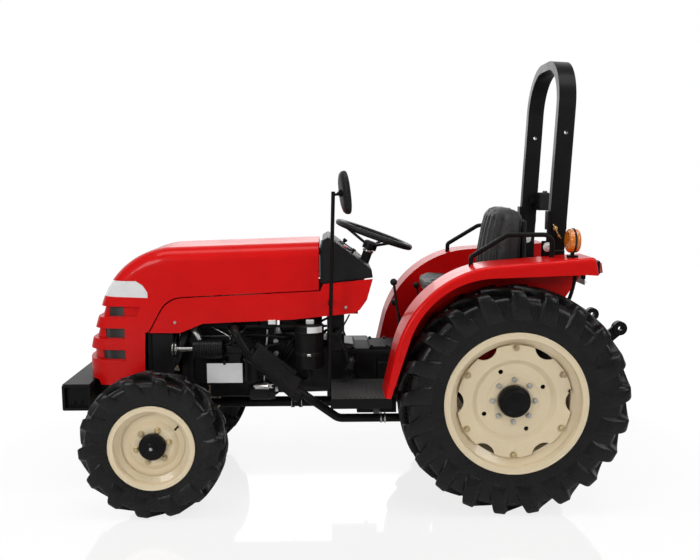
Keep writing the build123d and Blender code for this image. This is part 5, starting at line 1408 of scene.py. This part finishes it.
# %% [markdown]
# ## Seat
# The seat is vinyl over foam. Each pad starts as a slightly small closed form, is remeshed
# into even little squares and is blown up like cloth under pressure, which crowns its faces
# and pulls its corners in. The sewn channels and the piping come afterwards, because a
# seam is narrower than the squares.

# %% Pads
VOXEL = 0.005                    # side of the squares, in metres
MOST_PUFF = 0.007                # farthest that a point is blown out
SMALLER = 0.97                   # size of a pad before it is blown up


def coordinates(mesh, what="co"):
    """All vertex positions (or normals) of a mesh as one array."""
    flat = np.empty(len(mesh.vertices) * 3)
    source = mesh.vertices if what == "co" else mesh.vertex_normals
    source.foreach_get("co" if what == "co" else "vector", flat)
    return flat.reshape(-1, 3)


def pad_start(outline, half, shrink, crown=0.0):
    """Sections in X and Z along Y. Each is the outline drawn in towards its middle by
    1 - shrink and, towards the two ends, by the root (1 - |y/half|^5)^(1/5). The front falls
    back by the crown times |y/half|^2.2, so that the pad's face is rounded across."""
    outline = np.asarray(outline, float)
    ends = np.roll(outline, -1, axis=0)
    steps = 9
    share = np.linspace(0, 1, steps, endpoint=False)[None, :, None]
    line = (outline[:, None] * (1 - share) + ends[:, None] * share).reshape(-1, 2)
    centre = (line.max(axis=0) + line.min(axis=0)) / 2
    across = np.sin(np.linspace(-np.pi / 2, np.pi / 2, 29)) * 0.995
    rows = []
    for u in across:
        size = shrink * (1 - abs(u) ** 5) ** 0.2
        size = max(size, 0.55 * shrink)
        section = centre + (line - centre) * size
        rear = line[:, 0].max()
        section[:, 0] = rear - (rear - section[:, 0]) * (1 - crown * abs(u) ** 2.2)
        rows.append(np.c_[section[:, 0], np.full(len(line), u * half * shrink), section[:, 1]])
    points = np.array(rows)
    flat, faces = grid(points, wrap_cols=True)
    faces += [face[::-1] for face in end_faces(len(across), len(line))]
    return outward((mm(flat), faces))


def voxelled(name, shape, size):
    """An object whose mesh is the shape cut into even squares by a voxel remesh."""
    made = bpy.data.objects.new(name, make_mesh(f"{name}_start", shape))
    scene.collection.objects.link(made)
    remesh = made.modifiers.new("voxels", "REMESH")
    remesh.mode = "VOXEL"
    remesh.voxel_size = size
    ready = made.evaluated_get(bpy.context.evaluated_depsgraph_get())
    made.data = bpy.data.meshes.new_from_object(ready)
    made.modifiers.clear()
    return made


def puff(made, cap, pressure=4.0, frames=20):
    """Cloth under pressure without gravity; no point moves farther than the cap."""
    before = coordinates(made.data)
    cloth = made.modifiers.new("inflate", "CLOTH")
    cloth.settings.use_pressure = True
    cloth.settings.uniform_pressure_force = pressure
    cloth.settings.effector_weights.gravity = 0.0
    cloth.settings.quality = 4
    cloth.point_cache.frame_start, cloth.point_cache.frame_end = 1, frames
    for number in range(1, frames + 1):
        scene.frame_set(number)
    ready = made.evaluated_get(bpy.context.evaluated_depsgraph_get())
    after = coordinates(ready.data)
    made.modifiers.clear()
    scene.frame_set(1)
    moved = after - before
    length = np.linalg.norm(moved, axis=1)
    factor = np.minimum(1.0, cap / np.maximum(length, 1e-9))
    made.data.vertices.foreach_set("co", (before + moved * factor[:, None]).ravel())
    made.data.update()


def faded(value, low, high, soft):
    """1 between two limits, falling to 0 over a soft margin at each end."""
    return np.clip((value - low) / soft, 0, 1) * np.clip((high - value) / soft, 0, 1)


def sew(made, face, lines, wide, deep, along, limits):
    """Sewn channels: each point of the chosen face sinks by deep * exp(-((y-line)/wide)^2),
    summed over the lines and faded at both ends of the channel."""
    points, normals = coordinates(made.data), coordinates(made.data, "normal")
    facing = np.clip((normals @ np.asarray(face, float) - 0.45) / 0.3, 0, 1)
    sink = sum(np.exp(-((points[:, 1] - line) / wide) ** 2) for line in lines)
    sink = sink * deep * facing * faded(points[:, along], *limits, 0.03)
    points = points - normals * sink[:, None]
    made.data.vertices.foreach_set("co", points.ravel())
    made.data.update()


def finish_pad(made, look, stands_for):
    """Smooth shading, one subdivision, material, a ride on the root body, and the solid it stands for
    hidden.
    """
    made.data.shade_smooth()
    made.data.materials.clear()
    made.data.materials.append(look)
    smooth = made.modifiers.new("smooth", "SUBSURF")
    smooth.levels = smooth.render_levels = 1
    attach(made, "root")
    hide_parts(stands_for)
    print("pad", made.name, len(made.data.polygons), "faces")


def snapped(points, path, lift):
    """A path laid on the nearest points of a surface and lifted off its middle."""
    gap = np.linalg.norm(points[None] - path[:, None], axis=2)
    found = points[np.argmin(gap, axis=1)]
    smooth = (np.roll(found, 1, axis=0) + 2 * found + np.roll(found, -1, axis=0)) / 4
    away = smooth - points.mean(axis=0)
    return smooth + away / np.linalg.norm(away, axis=1)[:, None] * lift


def loop_tube(path, radius, sides=8):
    """A tube that closes on itself: its circle stands on the loop's own plane."""
    ahead, back = np.roll(path, -1, axis=0), np.roll(path, 1, axis=0)
    tangent = ahead - back
    tangent /= np.linalg.norm(tangent, axis=1)[:, None]
    out = path - path.mean(axis=0)
    out -= tangent * np.sum(out * tangent, axis=1)[:, None]
    out /= np.linalg.norm(out, axis=1)[:, None]
    side = np.cross(tangent, out)
    t = np.linspace(0, 2 * np.pi, sides, endpoint=False)
    points = path[:, None] + radius * (np.cos(t)[None, :, None] * out[:, None]
                                       + np.sin(t)[None, :, None] * side[:, None])
    return outward(grid(points, wrap_rows=True, wrap_cols=True))


# outlines in X and Z, from the lower front corner round to the rear
SEAT_BACK = [(20, 1032), (-60, 1036), (-86, 1070), (-84, 1160), (-62, 1290), (-42, 1364),
             (-24, 1388), (84, 1384), (98, 1350), (94, 1133), (86, 985), (24, 985)]
SEAT_BASE = [(-380, 990), (-382, 1018), (-352, 1036), (-60, 1012), (12, 1026), (12, 966),
             (-352, 956)]
BACK_LINES = [-0.168, -0.120, -0.072, -0.024, 0.024, 0.072, 0.120, 0.168]
BASE_LINES = [-0.138, -0.069, 0.0, 0.069, 0.138]
BASE_ENDS = [float(mm((x, 0, 0))[0]) for x in (-350, -20)]

back = voxelled("seat_back_pad", pad_start(SEAT_BACK, 212, SMALLER, crown=0.36), VOXEL)
base = voxelled("seat_cushion_pad", pad_start(SEAT_BASE, 220, SMALLER), VOXEL)
puff(back, MOST_PUFF)
puff(base, MOST_PUFF)
sew(back, FRONT, BACK_LINES, wide=0.009, deep=0.012, along=2, limits=(1.04, 1.36))
sew(base, UP, BASE_LINES, wide=0.008, deep=0.008, along=0, limits=BASE_ENDS)
finish_pad(back, finishes["vinyl"], "seat_back")
finish_pad(base, finishes["vinyl"], "seat_cushion")

# %% Piping
PIPING_RADIUS, PIPING_LIFT = 0.0032, 0.0005


def upright_loop(half_y, half_z, x, z, lean=0.0):
    """A loop round a backrest: its X grows by lean for each millimetre above its foot."""
    across, up = round_loop(half_y, half_z, 4.4, 120).T
    return np.c_[x + (up + half_z) * lean, across, z + up]


def level_loop(half_x, half_y, x, z):
    """A loop round a cushion at one height."""
    along, across = round_loop(half_x, half_y, 4.4, 120).T
    return np.c_[x + along, across, np.full(len(along), float(z))]


PIPING = [
    # name, pad, loop
    ("back_front", back, upright_loop(200, 176, 10, 1206, lean=0.10)),
    ("back_rear", back, upright_loop(194, 186, 92, 1180)),
    ("cushion_top", base, level_loop(186, 200, -186, 1030)),
    ("cushion_low", base, level_loop(186, 200, -186, 962)),
]
for name, made, path in PIPING:
    laid = snapped(coordinates(made.data), mm(path), PIPING_LIFT)
    piece(f"piping_{name}", loop_tube(laid, PIPING_RADIUS), finishes["vinyl"])

# %% [markdown]
# ## Steering wheel and silencer
# The rim of the steering wheel gets a thicker grip. The silencer and its upper chamber are
# wrapped in one jacket, whose section is the outline of two circles with a belt round them.

# %% Grip and jacket
RIM_AT, RIM_AXIS, RIM_RADIUS = (-613.0, 0.0, 1250.0), (0.3371, 0.0, 0.9415), 188
GRIP_RADIUS = 0.0148
_, first, second = frame_of(RIM_AXIS)
t = np.linspace(0, 2 * np.pi, 96, endpoint=False)
grip_path = RIM_AT + RIM_RADIUS * (np.cos(t)[:, None] * first + np.sin(t)[:, None] * second)
piece("steering_grip", loop_tube(mm(grip_path), GRIP_RADIUS, 16), finishes["plastic"],
      "steering_wheel")


def jacket(low_a, low_b, high_a, high_b, radius_a, radius_b, rows, count=44):
    """A hull of two tubes: at each row the two centres are found on their lines, and the
    point for direction n is that circle's whose support c.n + r is the larger one."""
    low_a, low_b = np.asarray(low_a, float), np.asarray(low_b, float)
    high_a, high_b = np.asarray(high_a, float), np.asarray(high_b, float)
    axis = (high_a - low_a) / np.linalg.norm(high_a - low_a)
    across = (low_b - low_a) - axis * np.dot(low_b - low_a, axis)
    across /= np.linalg.norm(across)
    side = np.cross(axis, across)
    t = np.linspace(0, 2 * np.pi, count, endpoint=False)
    normal = np.cos(t)[:, None] * across + np.sin(t)[:, None] * side
    rings = []
    for share, swell in rows:
        a, b = low_a + (high_a - low_a) * share, low_b + (high_b - low_b) * share
        of_a = normal @ a + radius_a * swell
        of_b = normal @ b + radius_b * swell
        use_a = (of_a > of_b)[:, None]
        rings.append(np.where(use_a, a + normal * radius_a * swell, b + normal * radius_b * swell))
    flat, faces = grid(np.array(rings), wrap_cols=True)
    faces += [face[::-1] for face in end_faces(len(rows), count)]
    return outward((mm(flat), faces))


ribs = [(0.0, 0.80), (0.01, 0.97), (0.02, 1.0)]
for at in np.linspace(0.05, 0.95, 31):
    ribs += [(at - 0.008, 1.0), (at - 0.003, 1.035), (at + 0.003, 1.035), (at + 0.008, 1.0)]
ribs += [(0.98, 1.0), (0.99, 0.97), (1.0, 0.80)]
piece("silencer_jacket",
      jacket((-1208, -280, 700), (-1176, -274, 739), (-1002, -280, 514), (-982, -274, 562),
             33.5, 20.5, ribs), finishes["casting"])

# %% [markdown]
# ## Rods of the lift, lamps and the rest of the hitch
# Pieces that ride on moving bodies: lock nuts on the lift rods, the work lamp's lens and
# bezel on the hoop, brass lock pins, and washers at the hoop's pivots.

# %% Moving details
LIFT_LOW, LIFT_TOP = np.array((241.0, -235.0, 514.1)), np.array((311.0, -235.0, 904.1))
ROD_RUN = LIFT_TOP - LIFT_LOW
ROD_LINE = ROD_RUN / np.linalg.norm(ROD_RUN)
LOCK_NUT = [(0, 13), (1, 15), (11, 15), (12, 13)]
DETAILS = [
    # name, mirrored, body, finish, centre, axis, outline, sides
    ("lift_rod_nut", 1, "lift_rod_left", "steel", LIFT_LOW + ROD_RUN * 0.275, ROD_LINE,
     LOCK_NUT, 6),
    ("lift_rod_grip", 1, "lift_rod_left", "galvanised", LIFT_LOW + ROD_RUN * 0.40, ROD_LINE,
     fins(64, 8, 16.4, 18.2), 24),
    ("lift_rod_top_nut", 1, "lift_rod_left", "steel", LIFT_LOW + ROD_RUN * 0.665, ROD_LINE,
     LOCK_NUT, 6),
    ("hoop_lock_pin", 1, "rops", "brass", (214, -311, 1298), (0, 1, 0),
     [(0, 0.5), (0, 8), (3, 11), (9, 11), (12, 8), (19, 8)], 16),
    ("hoop_pin_head", 1, "rops", "brass", (230, -311, 1264), (0, 1, 0),
     [(0, 0.5), (0, 7), (6, 7), (8, 5), (19, 5)], 12),
    ("hoop_washer", 1, "root", "white", (182, -299, 1211), (0, -1, 0),
     [(0, 19), (1, 22), (3, 22), (4, 19), (4, 0.5)], 28),
    ("hoop_washer_inner", 1, "root", "white", (225, -244, 1206), (0, 1, 0),
     [(0, 18), (1, 20), (3, 20), (4, 18), (4, 0.5)], 28),
]
for name, mirrored, body, look, at, axis, outline, sides in DETAILS:
    made = lathe(outline, axis=axis, sides=sides)
    on_both(name, to_metres(made, at), finishes[look], body, mirrored)

clip_line = [(203, -305, 1318), (207, -310, 1308), (216, -312, 1290), (226, -312, 1270),
             (234, -311, 1258), (240, -308, 1252)]
on_both("hoop_pin_clip", tube(mm(curve(clip_line, 6)), 0.0035), finishes["brass"], "rops")
piece("work_lamp_bezel", slab(mm((308, 162, 1364)), mm((316, 246, 1453)), 0.004),
      finishes["plastic"], "rops")
piece("work_lamp_lens", slab(mm((312, 168, 1370)), mm((319, 240, 1447)), 0.003),
      finishes["glass"], "rops")
cooling = [slab(mm((256, 168, 1370 + 12 * k)), mm((266, 240, 1375 + 12 * k)), 0.0015)
           for k in range(7)]
piece("work_lamp_fins", gather(*cooling), finishes["plastic"], "rops")

# %% [markdown]
# ## Floor, backdrop and light
# The tractor stands on a pale floor that runs out to a white surround. The white is put in
# by each material for rays from the camera, and by the backdrop also for rays off gloss and
# through glass, so that the lamps can stay at a level where each paint keeps its own colour.

# %% Floor and surround
WORLD_LIGHT = 0.28               # strength of the even light on the tractor
FLOOR_HALF = 30.0
BACKDROP_Y, BACKDROP_TOP = 9, 16


def make_floor_material():
    """Matt pale floor. For rays from the camera it is mixed with white that has a faint
    shine: not wholly near the tractor, where the shadow has to stay, and wholly far away.
    The blend is a smooth step of the distance from the model's middle."""
    material, tree, shader = new_material("pale floor")
    place = add(tree, "ShaderNodeTexCoord")
    noise = add(tree, "ShaderNodeTexNoise", Vector=place.outputs["Object"], Scale=3.0)
    tone = blend_colours(tree, noise.outputs["Fac"], (0.83, 0.83, 0.83), (0.85, 0.85, 0.85))
    tree.links.new(tone, shader.inputs["Base Color"])
    shader.inputs["Roughness"].default_value = 0.5
    shine = add(tree, "ShaderNodeBsdfGlossy", Color=(1, 1, 1, 1), Roughness=0.06)
    white = add(tree, "ShaderNodeEmission", Color=(1, 1, 1, 1), Strength=1.06)
    polished = tree.nodes.new("ShaderNodeMixShader")
    polished.inputs[0].default_value = 0.10
    tree.links.new(white.outputs[0], polished.inputs[1])
    tree.links.new(shine.outputs[0], polished.inputs[2])
    span = add(tree, "ShaderNodeVectorMath", {"operation": "LENGTH"})
    tree.links.new(place.outputs["Object"], span.inputs[0])
    far = add(tree, "ShaderNodeMapRange", {"interpolation_type": "SMOOTHSTEP"},
              Value=span.outputs["Value"])
    for name, value in (("From Min", 1.6), ("From Max", 3.0), ("To Min", 0.84), ("To Max", 1.0)):
        far.inputs[name].default_value = value
    path = tree.nodes.new("ShaderNodeLightPath")
    seen = math_of(tree, "MULTIPLY", path.outputs["Is Camera Ray"], far.outputs["Result"])
    mix = tree.nodes.new("ShaderNodeMixShader")
    tree.links.new(seen, mix.inputs[0])
    tree.links.new(shader.outputs[0], mix.inputs[1])
    tree.links.new(polished.outputs[0], mix.inputs[2])
    tree.links.new(mix.outputs[0], tree.nodes["Material Output"].inputs["Surface"])
    return material


def make_floor():
    """A square plane on the ground, far wider than the view."""
    corners = np.array([(-1, -1, 0), (1, -1, 0), (1, 1, 0), (-1, 1, 0)]) * FLOOR_HALF
    mesh = make_mesh("floor", (corners, [[0, 1, 2, 3]]))
    mesh.materials.append(make_floor_material())
    floor = bpy.data.objects.new("floor", mesh)
    scene.collection.objects.link(floor)


def make_backdrop_material():
    """Plain white for rays from the camera, from gloss and through glass; matt otherwise."""
    material, tree, shader = new_material("white backdrop")
    shader.inputs["Base Color"].default_value = (0.8, 0.8, 0.8, 1.0)
    shader.inputs["Roughness"].default_value = 0.9
    white = add(tree, "ShaderNodeEmission", Color=(1, 1, 1, 1), Strength=1.0)
    path = tree.nodes.new("ShaderNodeLightPath")
    seen = math_of(tree, "ADD", path.outputs["Is Camera Ray"], path.outputs["Is Glossy Ray"])
    seen = math_of(tree, "ADD", seen, path.outputs["Is Transmission Ray"], clamp=True)
    mix = tree.nodes.new("ShaderNodeMixShader")
    tree.links.new(seen, mix.inputs[0])
    tree.links.new(shader.outputs[0], mix.inputs[1])
    tree.links.new(white.outputs[0], mix.inputs[2])
    tree.links.new(mix.outputs[0], tree.nodes["Material Output"].inputs["Surface"])
    return material


def make_backdrop():
    """A wide upright sheet far behind the tractor."""
    low, high = (-FLOOR_HALF, BACKDROP_Y), (FLOOR_HALF, BACKDROP_Y)
    corners = np.array([(*low, 0), (*high, 0), (*high, BACKDROP_TOP), (*low, BACKDROP_TOP)])
    mesh = make_mesh("backdrop", (corners, [[0, 1, 2, 3]]))
    mesh.materials.append(make_backdrop_material())
    backdrop = bpy.data.objects.new("backdrop", mesh)
    scene.collection.objects.link(backdrop)


def make_world():
    """White for camera and transmitted rays; a dim even light for the rest."""
    world = bpy.data.worlds.new("surround")
    world.use_nodes = True
    tree = world.node_tree
    tree.nodes.clear()
    output = tree.nodes.new("ShaderNodeOutputWorld")
    path = tree.nodes.new("ShaderNodeLightPath")
    seen = math_of(tree, "ADD", path.outputs["Is Camera Ray"],
                   path.outputs["Is Transmission Ray"], clamp=True)
    strength = math_of(tree, "MULTIPLY", seen, 1.0 - WORLD_LIGHT)
    strength = math_of(tree, "ADD", strength, WORLD_LIGHT)
    ground = add(tree, "ShaderNodeBackground", Color=(1, 1, 1, 1), Strength=strength)
    tree.links.new(ground.outputs[0], output.inputs["Surface"])
    scene.world = world


def lamp(name, at, aim, size, power):
    """A rectangular white lamp at a point, turned so that it looks at another point."""
    data = bpy.data.lights.new(name, "AREA")
    data.shape = "RECTANGLE"
    data.size, data.size_y = size
    data.energy = power
    made = bpy.data.objects.new(name, data)
    made.location = at
    away = np.asarray(aim, float) - np.asarray(at, float)
    flat = math.hypot(away[0], away[1])
    made.rotation_euler = (math.atan2(flat, -away[2]), 0.0,
                           math.atan2(away[1], away[0]) - math.pi / 2)
    scene.collection.objects.link(made)


make_floor()
make_backdrop()
make_world()
LAMPS = [
    # name, place, aim, size, power
    ("overhead", (0.0, -0.9, 4.0), (0.0, 0.0, 0.8), (5.0, 1.2), 80),
    ("front_left", (-3.4, -4.4, 2.6), (-0.4, 0.0, 0.8), (1.6, 1.6), 85),
    ("rear_left", (3.6, -4.0, 2.8), (0.4, 0.0, 0.8), (1.6, 1.6), 60),
    ("behind", (0.0, 4.5, 2.6), (0.0, 0.0, 0.9), (4.0, 1.5), 40),
]
for row in LAMPS:
    lamp(*row)
print("lamps:", len(LAMPS))
